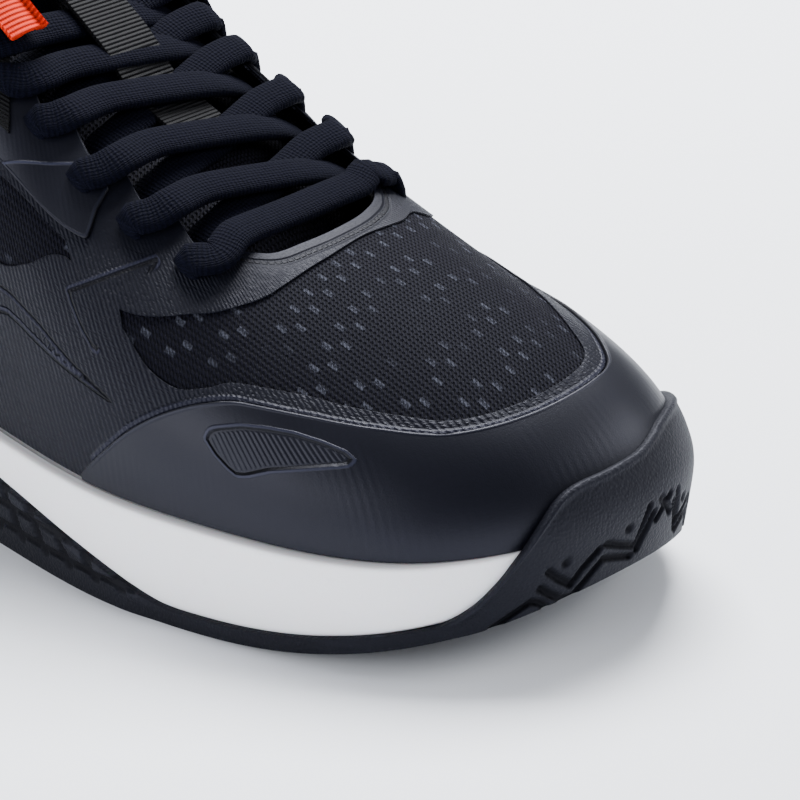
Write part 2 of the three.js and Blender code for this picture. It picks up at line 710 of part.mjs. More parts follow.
function tongueWebbing() {
  const { loopFrom, loopTo } = webbing;
  const heights = [
    [loopTo - 8, 0.8], [loopTo - 0.5, 7.9], [(loopTo + loopFrom) / 2, 8.2], [loopFrom, 7.9],
    [loopFrom + 4, 3.5], [webbing.from, 3],
  ];
  const steps = 30;
  return sheet(steps, 2, (i, j, side) => {
    const x = mix(webbing.from, webbing.top, (i / steps) ** 1.3);
    const y = mix(1, -1, j / 2) * webbing.halfWidth;
    const lying = THREE.MathUtils.clamp((loopTo - x) / 8, 0, 1);
    const base = lying * tongueTopAt(y);
    return overThroat(x, y, base + curveAt(heights, x) + (side - 0.5) * webbing.thickness);
  });
}

function tongueLabel() {
  return sheet(8, 4, (i, j, side) => {
    const x = mix(113, 88, i / 8);
    const y = mix(-9.5, -21, j / 4);
    return overThroat(x, y, tongueTopAt(y) + (side ? 1.6 : 0.35));
  });
}

// Laces

const uphill = (x) => new THREE.Vector3(-1, 0, (throatAt(x - 3) - throatAt(x + 3)) / 6).normalize();

// The station at which the throat edge on one side is as far along as a lace row.
function edgePlace(x, outer) {
  let [low, high] = [6, 9.5];
  for (let n = 0; n < 30; n += 1) {
    const middle = (low + high) / 2;
    if (upperShape(outer ? middle : stationCount - middle, 1).x < x) low = middle;
    else high = middle;
  }
  return outer ? low : stationCount - low;
}

// The way over the throat edge and through one eyelet, from the middle of the shoe outwards.
function throughEyelet(row, outer, last) {
  const [u0, v] = eyelets[row];
  const u = outer ? u0 : stationCount - u0;
  const x = laceRows[row];
  const across = uphill(x);
  const above = layers.overlay[1] + laceGap + lace.thickness / 2;
  const rim = edgePlace(x, outer);
  const full = { across, width: lace.width, thickness: lace.thickness };
  const turning = { across, width: 5, thickness: lace.thickness };
  return [
    { centre: upperPoint(rim, 1, above + 0.3), ...full },
    { centre: upperPoint(mix(u, rim, 0.5), mix(v, 1, 0.5), above + 0.15), ...full },
    { centre: upperPoint(u, v, above - 0.2), ...turning },
    { centre: upperPoint(u, v, layers.base[0]), across, ...laceInEyelet },
    { centre: upperPoint(u, v, layers.lining[0] - 0.5), across, ...laceInEyelet },
    { centre: upperPoint(u, v + (last ? -0.05 : 0.04), layers.lining[0] - laceGap - lace.thickness), ...turning },
  ];
}

// The hidden stretch behind the eyelets, from one row to another.
function laceBehind(fromRow, toRow, outer) {
  const place = (row) => (outer ? eyelets[row][0] : stationCount - eyelets[row][0]);
  const depth = layers.lining[0] - 2 * laceGap - lace.thickness / 2;
  const steps = Math.max(2, Math.round(Math.abs(place(fromRow) - place(toRow)) / 0.4));
  const line = [];
  for (let k = 0; k <= steps; k += 1) {
    const u = mix(place(fromRow), place(toRow), k / steps);
    const rising = upperShape(u, hiddenRun + 0.03).sub(upperShape(u, hiddenRun - 0.03)).normalize();
    const atEnd = k === 0 ? 1 : k === steps ? -1 : 0;
    const turn = uphill(upperShape(u, hiddenRun).x).multiplyScalar(atEnd * (outer ? 1 : -1));
    const across = rising.add(turn);
    line.push({ centre: upperPoint(u, hiddenRun, depth), across, width: 5.5, thickness: lace.thickness });
  }
  return line;
}

const turnOver = (line) => line.map((point) => ({ ...point, across: point.across.clone().negate() }));

function laceBar(row) {
  const x = laceRows[row];
  const across = uphill(x);
  const line = [];
  for (let y = -18; y <= 18; y += 9) {
    const sag = 1.9 * (y / 18) ** 2;
    const centre = overThroat(x, y, lace.rise - sag);
    line.push({ centre, across, width: lace.width, thickness: lace.thickness });
  }
  return line;
}

// The hidden stretch from the outer eyelet of one row to the inner eyelet of the next.
function laceUnder(row) {
  const start = throughEyelet(row, true).pop().centre;
  const end = throughEyelet(row + 1, false).pop().centre;
  const line = [];
  for (let k = 1; k < 6; k += 1) {
    const x = mix(laceRows[row], laceRows[row + 1], k / 6);
    const y = mix(start.y, end.y, k / 6);
    const centre = overThroat(x, y, lace.underRise - 0.0135 * y * y);
    line.push({ centre, across: uphill(x), width: lace.width - 1, thickness: lace.thickness - 0.4 });
  }
  return line;
}

const knot = { x: 121, height: 6.2, halfLength: 5, halfWidth: 7, halfHeight: 3.6 };

// The stretch between the knot and the first point over the throat edge.
function toKnot(outer) {
  const side = outer ? -1 : 1;
  const size = { across: uphill(knot.x), width: lace.width - 1.5, thickness: lace.thickness };
  return [[0, 3.5, 0], [0.5, 8, -0.4], [3, 17, -1.4]].map(([x, y, height]) => {
    return { centre: overThroat(knot.x + x, side * y, knot.height + height), ...size };
  });
}

function lacedRun() {
  const line = turnOver([...toKnot(false), ...throughEyelet(topRow, false, true)]);
  line.push(...laceBehind(topRow, 0, false));
  for (let row = 0; row < barRows; row += 1) {
    line.push(...throughEyelet(row, false, row === 0).reverse());
    line.push(...laceBar(row).reverse());
    line.push(...throughEyelet(row, true, row === barRows - 1));
    if (row < barRows - 1) line.push(...laceUnder(row));
  }
  line.push(...laceBehind(barRows - 1, topRow, true));
  line.push(...turnOver([...toKnot(true), ...throughEyelet(topRow, true, true)]).reverse());
  return strip(line);
}

function laceKnot() {
  const ball = new THREE.SphereGeometry(1, 10, 7);
  ball.scale(knot.halfLength, knot.halfWidth, knot.halfHeight);
  return ball.translate(...overThroat(knot.x, 0, knot.height).toArray());
}

// The lace is one cord: the laced run, the knot and both loops of the bow.
function wholeLace() {
  let solid = toSolid(lacedRun());
  for (const piece of [laceKnot(), laceLoop(true), laceLoop(false)]) solid = solid.add(toSolid(piece));
  return fromSolid(solid);
}

// Points over the side of the shoe, as (station, share of the way up, height off the shape).
function drape(outer, first, places, width) {
  const side = outer ? -1 : 1;
  const line = first.map(([x, y, height]) => overThroat(x, side * y, height));
  line.push(...places.map(([u, v, off]) => upperPoint(outer ? u : stationCount - u, v, off)));
  const curve = new THREE.CatmullRomCurve3(line, false, "centripetal");
  const count = Math.round(curve.getLength() / 7);
  return curve.getSpacedPoints(count).map((centre, k) => {
    const along = curve.getTangentAt(k / count);
    const across = along.clone().cross(new THREE.Vector3(0, side * 0.8, 0.6));
    return { centre, across, width, thickness: 2 };
  });
}

function laceLoop(outer) {
  return strip(drape(outer, [[120, 3, 7.4], [122, 14, 9]], [
    [5.95, 0.98, 8.8], [6, 0.8, 7.8], [5.86, 0.62, 7.4], [5.55, 0.55, 7.4], [5.2, 0.66, 7.6], [5.05, 0.85, 9],
    [5.25, 1, 10.6],
  ], 6));
}

const endPath = [[5.56, 1, 5.2], [5.56, 0.8, 4.2], [5.56, 0.6, 4.2], [5.52, 0.42, 4.2], [5.46, 0.3, 4.4]];

function laceEnd(outer) {
  return strip(drape(outer, [[116.6, 3, 2.2], [116.4, 9, 2], [115.5, 16, 3]], endPath, 5.5));
}

function aglet(outer) {
  const at = (v) => upperPoint(outer ? 5.46 : stationCount - 5.46, v, 4.4);
  const across = new THREE.Vector3(1, 0, 0);
  const line = [0.294, 0.2, 0.07].map((v) => ({ centre: at(v), across, width: 3.6, thickness: 2.6 }));
  return strip(line);
}

const pieces = [
  ["outsole", "rubber", outsole],
  ["midsole", "foam", midsole],
  ["midfoot_shank", "plastic", midfootShank],
  ["heel_cushion", "orange", heelCushion],
  ["insole_board", "board", insoleBoard],
  ["sockliner", "lining", sockliner],
  ["vamp_mesh", "mesh", vampMesh],
  ["quarter_base_outer", "mesh", () => quarterBase(true)],
  ["quarter_base_inner", "mesh", () => quarterBase(false)],
  ["film_overlay", "film", filmOverlay],
  ["toe_cap", "cap", toeCap],
  ["eyestay_outer", "cap", () => eyestay(true)],
  ["eyestay_inner", "cap", () => eyestay(false)],
  ["support_strap_outer", "webbing", () => supportStrap(true)],
  ["support_strap_inner", "webbing", () => supportStrap(false)],
  ["vamp_lining", "lining", () => cut(lining(...vampSpan), eyeletTools(eyeletsBetween(...vampSpan), liningHoleRadius))],
  ["quarter_lining", "lining", () => lining(seam - vampSpan[0], vampSpan[0] - seam)],
  ["collar_padding", "padding", collarPad],
  ["collar_rim", "lining", collarRim],
  ["heel_counter", "plastic", heelCounter],
  ["toe_puff", "plastic", toePuff],
  ["heel_clip", "plastic", heelClip],
  ["heel_tab", "webbing", heelTab],
  ["tongue", "mesh", tonguePanel],
  ["tongue_webbing", "webbing", tongueWebbing],
  ["tongue_label", "orange", tongueLabel],
  ["lace", "lace", wholeLace],
  ["lace_end_outer", "lace", () => laceEnd(true)],
  ["lace_end_inner", "lace", () => laceEnd(false)],
  ["aglet_outer", "clear", () => aglet(true)],
  ["aglet_inner", "clear", () => aglet(false)],
];

const shoe = new THREE.Group();
shoe.name = "court_shoe";
for (const [name, finish, make] of pieces) {
  const { color, roughness } = finishes[finish];
  const material = new THREE.MeshStandardMaterial({ color, roughness, metalness: 0 });
  const mesh = new THREE.Mesh(make(), material);
  mesh.name = name;
  shoe.add(mesh);
}

// The whole shoe is graded to its size, with the origin on the ground under its middle.
const box = new THREE.Box3().setFromObject(shoe);
const middle = box.getCenter(new THREE.Vector3());
const grading = ["length", "width", "height"].map((key) => shoeSize[key] / drawnSize[key]);
for (const mesh of shoe.children) mesh.geometry.translate(-middle.x, -middle.y, -box.min.z).scale(...grading);

export default shoe;
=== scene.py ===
import math

import bmesh
import bpy
import numpy as np
from mathutils import Matrix, Vector


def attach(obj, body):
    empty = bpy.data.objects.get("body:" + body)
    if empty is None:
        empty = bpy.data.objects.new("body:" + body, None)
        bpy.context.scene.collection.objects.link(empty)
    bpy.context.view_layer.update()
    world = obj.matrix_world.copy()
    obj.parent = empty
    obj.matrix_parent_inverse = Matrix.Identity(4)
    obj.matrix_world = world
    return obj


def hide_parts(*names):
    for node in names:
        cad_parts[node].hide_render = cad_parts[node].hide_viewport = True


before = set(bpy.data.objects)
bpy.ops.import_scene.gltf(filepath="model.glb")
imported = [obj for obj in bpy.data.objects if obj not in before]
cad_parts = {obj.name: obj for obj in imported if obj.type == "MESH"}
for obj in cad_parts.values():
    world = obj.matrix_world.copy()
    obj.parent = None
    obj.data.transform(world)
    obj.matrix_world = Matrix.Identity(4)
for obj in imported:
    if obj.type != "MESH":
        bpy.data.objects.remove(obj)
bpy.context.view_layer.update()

# Sizes here are in millimetres: x runs from the heel to the toe, negative y is the outer side
origin = np.array([149.844, -3.482, 0])
metre = 0.001


def toMetres(points):
    return (np.asarray(points, float) - origin) * metre


# Shape of the shoe

biteInset = 3.9
guardRimPerStep = 0.2
toeStation = 12
throatFront = 9.1
layers = {"lining": -4.0, "base": -0.5, "film": 0.0, "overlay": 0.75, "strap": 1.5}

# Stations round the shoe: sole outline (x, y), top line (x, y, z), slope and lean in degrees, fullness
stations = np.array([
    [0, 1, 8, 1, 101, 86, 10, 0.33, 0.33],
    [5, -17, 13, -17, 98, 86, 9, 0.33, 0.33],
    [20, -31, 28, -26, 89, 86, 7, 0.33, 0.33],
    [48, -37.5, 52, -31, 80, 84, 5, 0.33, 0.33],
    [88, -38.5, 80, -33, 88, 80, 6, 0.33, 0.33],
    [125, -42, 106, -31, 105, 68, 7, 0.33, 0.36],
    [160, -50.5, 129, -27, 117, 52, 7, 0.34, 0.38],
    [195, -56.5, 155, -26, 100, 43, 7, 0.34, 0.4],
    [225, -56, 181, -26, 86, 38, 6, 0.32, 0.42],
    [252, -51, 202, -25, 76, 31, 6, 0.28, 0.46],
    [276, -40, 211, -18, 72.5, 22, 6, 0.25, 0.52],
    [292, -22, 213, -8, 72.5, 15, 6, 0.24, 0.57],
    [299, 5, 213.5, 2, 73, 13, 5, 0.24, 0.58],
    [294.5, 25, 212.5, 11, 73.5, 15, 5, 0.24, 0.57],
    [281, 39, 209, 19, 74.5, 22, 5, 0.25, 0.52],
    [260, 47, 200, 25, 78, 32, 6, 0.28, 0.46],
    [233, 50.5, 180, 26, 88, 40, 6, 0.32, 0.42],
    [205, 50, 155, 26, 101, 46, 5, 0.34, 0.4],
    [175, 44, 129, 27, 118, 56, 4, 0.34, 0.38],
    [140, 37, 106, 31, 106, 70, 4, 0.33, 0.36],
    [100, 35, 80, 32, 89, 81, 4, 0.33, 0.33],
    [60, 36, 52, 30, 81, 85, 5, 0.33, 0.33],
    [25, 32, 28, 25, 90, 86, 7, 0.33, 0.33],
    [6, 19, 13, 17, 98, 86, 9, 0.33, 0.33],
])
stationCount = len(stations)

biteHeights = [[0, 36], [40, 33], [100, 28], [170, 24], [230, 23.5], [265, 23.5], [290, 26.5], [300, 29]]
groundHeights = [[0, 4], [14, 1], [35, 0], [215, 0], [250, 2], [280, 9], [300, 18]]
throatHeights = [
    [70, 127], [100, 124], [129, 117.5], [155, 100.5], [181, 87], [202, 77], [213, 73], [230, 68.5],
]
tongueHalves = [
    [74, 15], [76, 21], [80, 25], [92, 28], [104, 28], [125, 28], [140, 28], [155, 28], [170, 28],
    [190, 27.5], [206, 24], [226, 16],
]
tongueSinks = [[190, 0], [198, 1.4], [206, 4.2], [213, 7], [226, 7.6]]

# Panel edges on the upper, as (station, share of the way up) pairs
capEdge = [
    [6.8, 0.03], [7.11, 0.13], [7.37, 0.21], [7.77, 0.31], [8.21, 0.4], [8.6, 0.46], [9.24, 0.49],
    [9.9, 0.47], [10.52, 0.43], [11.3, 0.42], [12, 0.43], [12.65, 0.45], [13.2, 0.5], [13.9, 0.54],
    [14.8, 0.53], [15.4, 0.47], [16, 0.37], [16.6, 0.21], [17.2, 0.03],
]
windowLow = [
    [2.6, 0.4], [4.6, 0.42], [5.2, 0.4], [6.19, 0.43], [6.49, 0.48], [6.8, 0.56], [7.0, 0.58], [7.46, 0.49],
    [7.64, 0.42], [7.91, 0.4], [8.19, 0.44], [8.6, 0.52], [9.27, 0.56], [9.73, 0.54], [10.17, 0.51],
    [10.61, 0.47], [11.3, 0.46], [12.15, 0.48], [12.57, 0.51], [12.93, 0.57], [13.3, 0.61], [13.9, 0.64],
    [14.5, 0.64], [15.2, 0.6], [15.8, 0.52], [16.2, 0.44], [16.5, 0.46], [17.0, 0.58], [17.5, 0.48],
    [18.8, 0.4], [19.4, 0.42], [21.4, 0.4],
]
windowHigh = [
    [2.6, 0.6], [4.6, 0.58], [5.2, 0.64], [6.42, 0.64], [6.69, 0.635], [7.0, 0.62], [7.46, 0.54], [8.47, 0.7],
    [9.09, 0.81], [10.07, 0.91], [11.09, 0.94], [12.24, 0.95], [13.44, 0.93], [14.3, 0.9], [14.9, 0.82],
    [15.5, 0.71], [16.5, 0.54], [17.0, 0.62], [17.5, 0.64], [18.8, 0.64], [19.4, 0.58], [21.4, 0.6],
]
filmEnds = [2.6, 21.4]
windows = [[4.6, 7.0], [7.46, 16.5], [17.0, 19.4]]
capFin = [
    [8.14, 0.288], [8.19, 0.317], [8.26, 0.334], [8.53, 0.379], [8.8, 0.406], [9.06, 0.418], [9.3, 0.409],
    [9.48, 0.388], [9.53, 0.366], [9.46, 0.346], [9.04, 0.307], [8.71, 0.266], [8.48, 0.222], [8.38, 0.211],
    [8.31, 0.223], [8.21, 0.251],
]
panelLine = [
    [8.05, 0.774], [7.8, 0.712], [7.55, 0.649], [7.25, 0.574], [6.92, 0.495], [6.96, 0.464], [7, 0.433],
    [7.12, 0.382],
]
arrow = [
    [5.6, 0.37], [6.0, 0.378], [6.25, 0.372], [6.54, 0.348], [6.83, 0.309], [7.02, 0.29], [7.21, 0.266],
    [6.9, 0.28], [6.66, 0.29], [6.43, 0.305], [6.3, 0.316], [6.18, 0.322], [6.08, 0.315], [5.6, 0.29],
]
eyestayFold = [[5.9, 0.58], [6.32, 0.668], [6.87, 0.784], [7.43, 0.893]]
eyestayLow = [[5.35, 0.72], [6.2, 0.68], [7.2, 0.67], [7.42, 0.78], [7.62, 0.87]]
guardTop = [
    [9.9, 0.12], [10.3, 0.35], [10.55, 0.65], [10.74, 1.0], [10.91, 1.36], [11.14, 1.74], [11.32, 1.87],
    [11.63, 1.9], [11.99, 1.96], [12.39, 2.14], [12.6, 2.2], [13, 2.22], [13.6, 2.12], [14.3, 1.85],
    [14.9, 1.4], [15.4, 0.9], [15.8, 0.45], [16.2, 0.12],
]
outerWrapTop = [[3.5, 0.12], [4.2, 0.5], [5.2, 0.72], [6.1, 0.6], [6.8, 0.42], [7.55, 0.17], [7.9, 0.12]]
innerWrapTop = [[17, 0.12], [17.9, 0.4], [18.8, 0.45], [19.7, 0.12]]
eyelets = [[8.47, 0.82], [7.82, 0.81], [7.3, 0.82], [6.86, 0.86], [6.5, 0.87], [6.17, 0.87], [5.88, 0.86]]
throatNotches = {"at": [6.02, 6.34, 6.68, 7.08, 7.56, 8.13, 8.76], "depth": 0.06, "half": 0.17, "edge": 0.985}


# A smooth curve through values at rising knots, flat beyond its ends
def curveThrough(knots, values, x):
    values = np.asarray(values, float)
    count = len(knots)
    x = np.clip(x, knots[0], knots[-1])
    i = np.clip(np.searchsorted(knots, x, side="right") - 1, 0, count - 2)
    low = np.maximum(np.arange(count) - 1, 0)
    high = np.minimum(np.arange(count) + 1, count - 1)
    gaps = knots[high] - knots[low]
    rises = values[high] - values[low]
    slopes = rises / (gaps if values.ndim == 1 else gaps[:, None])
    h = knots[i + 1] - knots[i]
    t = (x - knots[i]) / h
    if values.ndim > 1:
        h, t = h[:, None], t[:, None]
    rest = 1 - t
    ends = values[i] * rest ** 2 * (1 + 2 * t) + values[i + 1] * t ** 2 * (1 + 2 * rest)
    return ends + h * t * rest * (slopes[i] * rest - slopes[i + 1] * t)


def curveAt(pairs, x):
    table = np.array(pairs, float)
    return curveThrough(table[:, 0], table[:, 1], np.asarray(x, float))


# The stations' numbers at any place round the shoe, one row for each place
def around(u):
    place = np.mod(np.asarray(u, float), stationCount)
    i = np.floor(place).astype(int)
    t = (place - i)[..., None]
    a, b, c, d = (stations[(i + k) % stationCount] for k in (-1, 0, 1, 2))
    cubic = (3 * b - 3 * c + d - a) * t ** 3
    return 0.5 * (2 * b + (c - a) * t + (2 * a - 5 * b + 4 * c - d) * t ** 2 + cubic)


# The same place on the outer or on the inner side, and any place brought to the outer side
def mirrored(u, outer):
    return u if outer else stationCount - u


def outerPlace(u):
    return np.minimum(u, stationCount - u)


def outlineAt(u, inset):
    here = around(u)[..., :2]
    step = around(np.asarray(u) + 0.01)[..., :2] - around(np.asarray(u) - 0.01)[..., :2]
    step = step / np.linalg.norm(step, axis=-1, keepdims=True)
    out = np.stack([step[..., 1], -step[..., 0]], -1)
    inset = np.broadcast_to(inset, np.shape(u))[..., None]
    return here - out * inset, out


def groundAt(x):
    return np.maximum(0, curveAt(groundHeights, x))


def unit(vectors):
    return vectors / np.linalg.norm(vectors, axis=-1, keepdims=True)


# A point on the shape of the upper: u round the shoe, v from the bite line to the top line
def upperShape(u, v):
    u, v = np.broadcast_arrays(np.asarray(u, float), np.asarray(v, float))
    row = around(u)
    edge, out = outlineAt(u, biteInset)
    low = np.concatenate([edge, curveAt(biteHeights, edge[..., 0])[..., None]], -1)
    high = row[..., 2:5]
    chord = np.linalg.norm(low - high, axis=-1)[..., None]
    upright = np.clip((row[..., 5:6] - 60) / 20, 0, 1)
    away = unit(low[..., :2] - high[..., :2]) * (1 - upright) + out * upright
    away = unit(away)
    slope = np.radians(row[..., 5:6])
    lean = np.radians(row[..., 6:7])
    fromTop = np.concatenate([away * np.cos(slope), -np.sin(slope)], -1)
    fromLow = np.concatenate([out * np.sin(lean), np.cos(lean)], -1)
    a = low + fromLow * chord * row[..., 7:8]
    b = high + fromTop * chord * row[..., 8:9]
    t = v[..., None]
    rest = 1 - t
    return low * rest ** 3 + 3 * a * rest ** 2 * t + 3 * b * rest * t ** 2 + high * t ** 3


def upperPoint(u, v, offset):
    u, v = np.broadcast_arrays(np.asarray(u, float), np.asarray(v, float))
    du = upperShape(u + 0.02, v) - upperShape(u - 0.02, v)
    dv = upperShape(u, np.minimum(v + 0.01, 1)) - upperShape(u, np.maximum(v - 0.01, 0))
    normal = unit(np.cross(du, dv))
    return upperShape(u, v) + normal * np.broadcast_to(offset, u.shape)[..., None]


# A point on the side of the sole: 0 is the ground, 1 the bite line, and above 1 it follows the upper
def wallPoint(u, height, out, above):
    edge, _ = outlineAt(u, -out)
    low = groundAt(edge[..., 0])
    rising = low + (curveAt(biteHeights, edge[..., 0]) - low) * np.minimum(height, 1)
    side = np.concatenate([edge, rising[..., None]], -1)
    over = upperPoint(u, np.maximum(height - 1, 0) * guardRimPerStep, above)
    fade = np.clip(1 - (height - 1) / 0.6, 0, 1)[..., None]
    over = over + (side - upperPoint(u, np.zeros(u.shape), above)) * fade * (height > 1)[..., None]
    return np.where((height > 1)[..., None], over, side)


def throatAt(x):
    return curveAt(throatHeights, x)


def overThroat(x, y, height):
    x, y, height = np.broadcast_arrays(*(np.asarray(n, float) for n in (x, y, height)))
    rise = (throatAt(x - 3) - throatAt(x + 3)) / 6
    size = np.hypot(1, rise)
    return np.stack([x + height * rise / size, y, throatAt(x) + height / size], -1)


# The throat edge is notched between the eyelets
def throatEdge(u):
    side = outerPlace(u)
    nearest = np.min(np.abs(side[..., None] - np.array(throatNotches["at"])), -1)
    notch = throatNotches["depth"] * np.exp(-((nearest / throatNotches["half"]) ** 4))
    return throatNotches["edge"] - np.where((side > 5.9) & (side < throatFront), notch, 0)


print("stage: camera")
view = {
    "target": [208.57, 29.58, 20.27], "turn": 40.4, "height": 23.47, "roll": -1.05, "distance": 778.3,
    "lens": 153.4, "sensor": 36,
}


def makeCamera():
    turn, height = math.radians(view["turn"]), math.radians(view["height"])
    back = Vector((math.sin(turn) * math.cos(height), -math.cos(turn) * math.cos(height), math.sin(height)))
    right = Vector((math.cos(turn), math.sin(turn), 0))
    up = back.cross(right)
    camera = bpy.data.objects.new("camera", bpy.data.cameras.new("camera"))
    camera.data.lens = view["lens"]
    camera.data.sensor_width = view["sensor"]
    turned = Matrix((right, up, back)).transposed().to_4x4()
    target = Vector(toMetres(view["target"]))
    spin = Matrix.Rotation(math.radians(view["roll"]), 4, "Z")
    camera.matrix_world = Matrix.Translation(target + back * view["distance"] * metre) @ turned @ spin
    bpy.context.scene.collection.objects.link(camera)
    bpy.context.scene.camera = camera


makeCamera()


# Shader maths: a value is one output socket of a node
class Value:
    def __init__(self, graph, socket):
        self.graph = graph
        self.socket = socket

    def op(self, kind, *others):
        return self.graph.maths(kind, self, *others)

    def __add__(self, other):
        return self.op("ADD", other)

    def __radd__(self, other):
        return self.graph.maths("ADD", other, self)

    def __sub__(self, other):
        return self.op("SUBTRACT", other)

    def __rsub__(self, other):
        return self.graph.maths("SUBTRACT", other, self)

    def __mul__(self, other):
        return self.op("MULTIPLY", other)

    def __rmul__(self, other):
        return self.graph.maths("MULTIPLY", other, self)

    def __truediv__(self, other):
        return self.op("DIVIDE", other)

    def __rtruediv__(self, other):
        return self.graph.maths("DIVIDE", other, self)

    def __pow__(self, other):
        return self.op("POWER", other)

    def __abs__(self):
        return self.op("ABSOLUTE")

    def smooth(self, low, high):
        inputs = {"Value": self, "From Min": low, "From Max": high}
        return self.graph.node("MapRange", {"interpolation_type": "SMOOTHSTEP"}, inputs)

    # 0 to 1 to 0 over each period
    def wave(self, period):
        return (self * (2 * math.pi / period)).op("SINE") * 0.5 + 0.5

    # A straight-sided wave from 0 to 1
    def zigzag(self, period):
        return abs((self / period).op("FRACT") * 2 - 1)

    # 1 within a half width of zero, falling to 0 softly
    def line(self, half, soft):
        return 1 - abs(self).smooth(half, half + soft)


class Graph:
    def __init__(self, name, fixed):
        self.material = bpy.data.materials.new(name)
        self.material.use_nodes = True
        self.tree = self.material.node_tree
        self.shader = self.tree.nodes["Principled BSDF"]
        for key, value in fixed.items():
            self.shader.inputs[key].default_value = value

    def feed(self, socket, value):
        if isinstance(value, Value):
            self.tree.links.new(value.socket, socket)
        else:
            socket.default_value = value

    def node(self, kind, settings=None, inputs=None, output=0):
        made = self.tree.nodes.new("ShaderNode" + kind)
        for key, value in (settings or {}).items():
            setattr(made, key, value)
        for key, value in (inputs or {}).items():
            self.feed(made.inputs[key], value)
        return Value(self, made.outputs[output])

    def maths(self, kind, *values):
        return self.node("Math", {"operation": kind}, dict(enumerate(values)))

    def flat(self):
        vector = self.node("UVMap", {"uv_map": "UVMap"})
        parts = [self.node("SeparateXYZ", None, {"Vector": vector}, k) for k in (0, 1)]
        return parts

    def solid(self):
        return self.node("TexCoord", None, None, "Object")

    def mark(self, name):
        return self.node("Attribute", {"attribute_name": name}, None, "Fac")

    def noise(self, vector, scale, detail=2.0, roughness=0.5):
        inputs = {"Vector": vector, "Scale": scale, "Detail": detail, "Roughness": roughness}
        return self.node("TexNoise", None, inputs)

    def join(self, x, y, z=0.0):
        return self.node("CombineXYZ", None, {"X": x, "Y": y, "Z": z})

    def blend(self, factor, a, b):
        return self.node("Mix", {"data_type": "RGBA"}, {0: factor, 6: a, 7: b}, 2)

    def finish(self, color, roughness, height=None, depth=0.3, strength=1.0):
        self.feed(self.shader.inputs["Base Color"], color)
        self.feed(self.shader.inputs["Roughness"], roughness)
        if height is not None:
            inputs = {"Height": height, "Distance": depth * metre, "Strength": strength}
            self.feed(self.shader.inputs["Normal"], self.node("Bump", None, inputs))
        return self.material


# A colour from its hex digits
def tint(digits):
    parts = [int(digits[k:k + 2], 16) / 255 for k in (0, 2, 4)]
    return tuple(n / 12.92 if n < 0.04045 else ((n + 0.055) / 1.055) ** 2.4 for n in parts) + (1.0,)


print("stage: materials")
looks = {
    # The film's third colour is a painted highlight for the bead, the ridge edges and the throat band
    "film": {"dark": "04050a", "light": "0e0f1a", "paintedHighlight": "2c2d3d", "ribPitch": 1.6, "ribLean": 0.22,
             "stitchPitch": 3.0},
    # The cap's edge colour is a painted highlight for its rim, the fin lip and the eyestay fold
    "cap": {"dark": "04050b", "light": "0b0c16", "edge": "2c2e3f", "grainDepth": 0.03, "finDepth": 0.7},
    "mesh": {"dark": "010103", "light": "0f0f19", "dash": "3f414b", "ribPitch": 1.15, "depth": 0.55},
    "lace": {"dark": "010208", "light": "0b0c1a", "weavePitch": 0.95, "depth": 0.35},
    "webbing": {"dark": "020203", "light": "0e0e12", "ribPitch": 1.05, "depth": 0.4},
    "orange": {"dark": "961603", "light": "f03208", "ribPitch": 1.0, "depth": 0.3},
    "foam": {"dark": "f0eff2", "light": "fdfcff", "depth": 0.05},
    "rubber": {"dark": "040509", "light": "0f1018", "pebble": 0.7, "depth": 0.2},
    "lining": {"dark": "010206", "light": "080910", "depth": 0.25},
    "plastic": {"dark": "08090e", "light": "171922", "depth": 0.05},
    "board": {"dark": "6d6a60", "light": "98948a", "depth": 0.1},
    "padding": {"dark": "44454a", "light": "6a6b70", "depth": 0.2},
    "clear": {"dark": "05060a", "light": "12131a", "depth": 0.05},
}
dashes = {"lane": 2.8, "step": 3.3, "pitch": 7.5, "length": 0.3, "half": 0.34, "dropped": 0.2}
coolTint = (0.82, 0.83, 1, 1)
# Near black for the stitch thread, also used as painted shade in the film's embossed grooves
threadBlackAndGrooveShade = tint("030305")


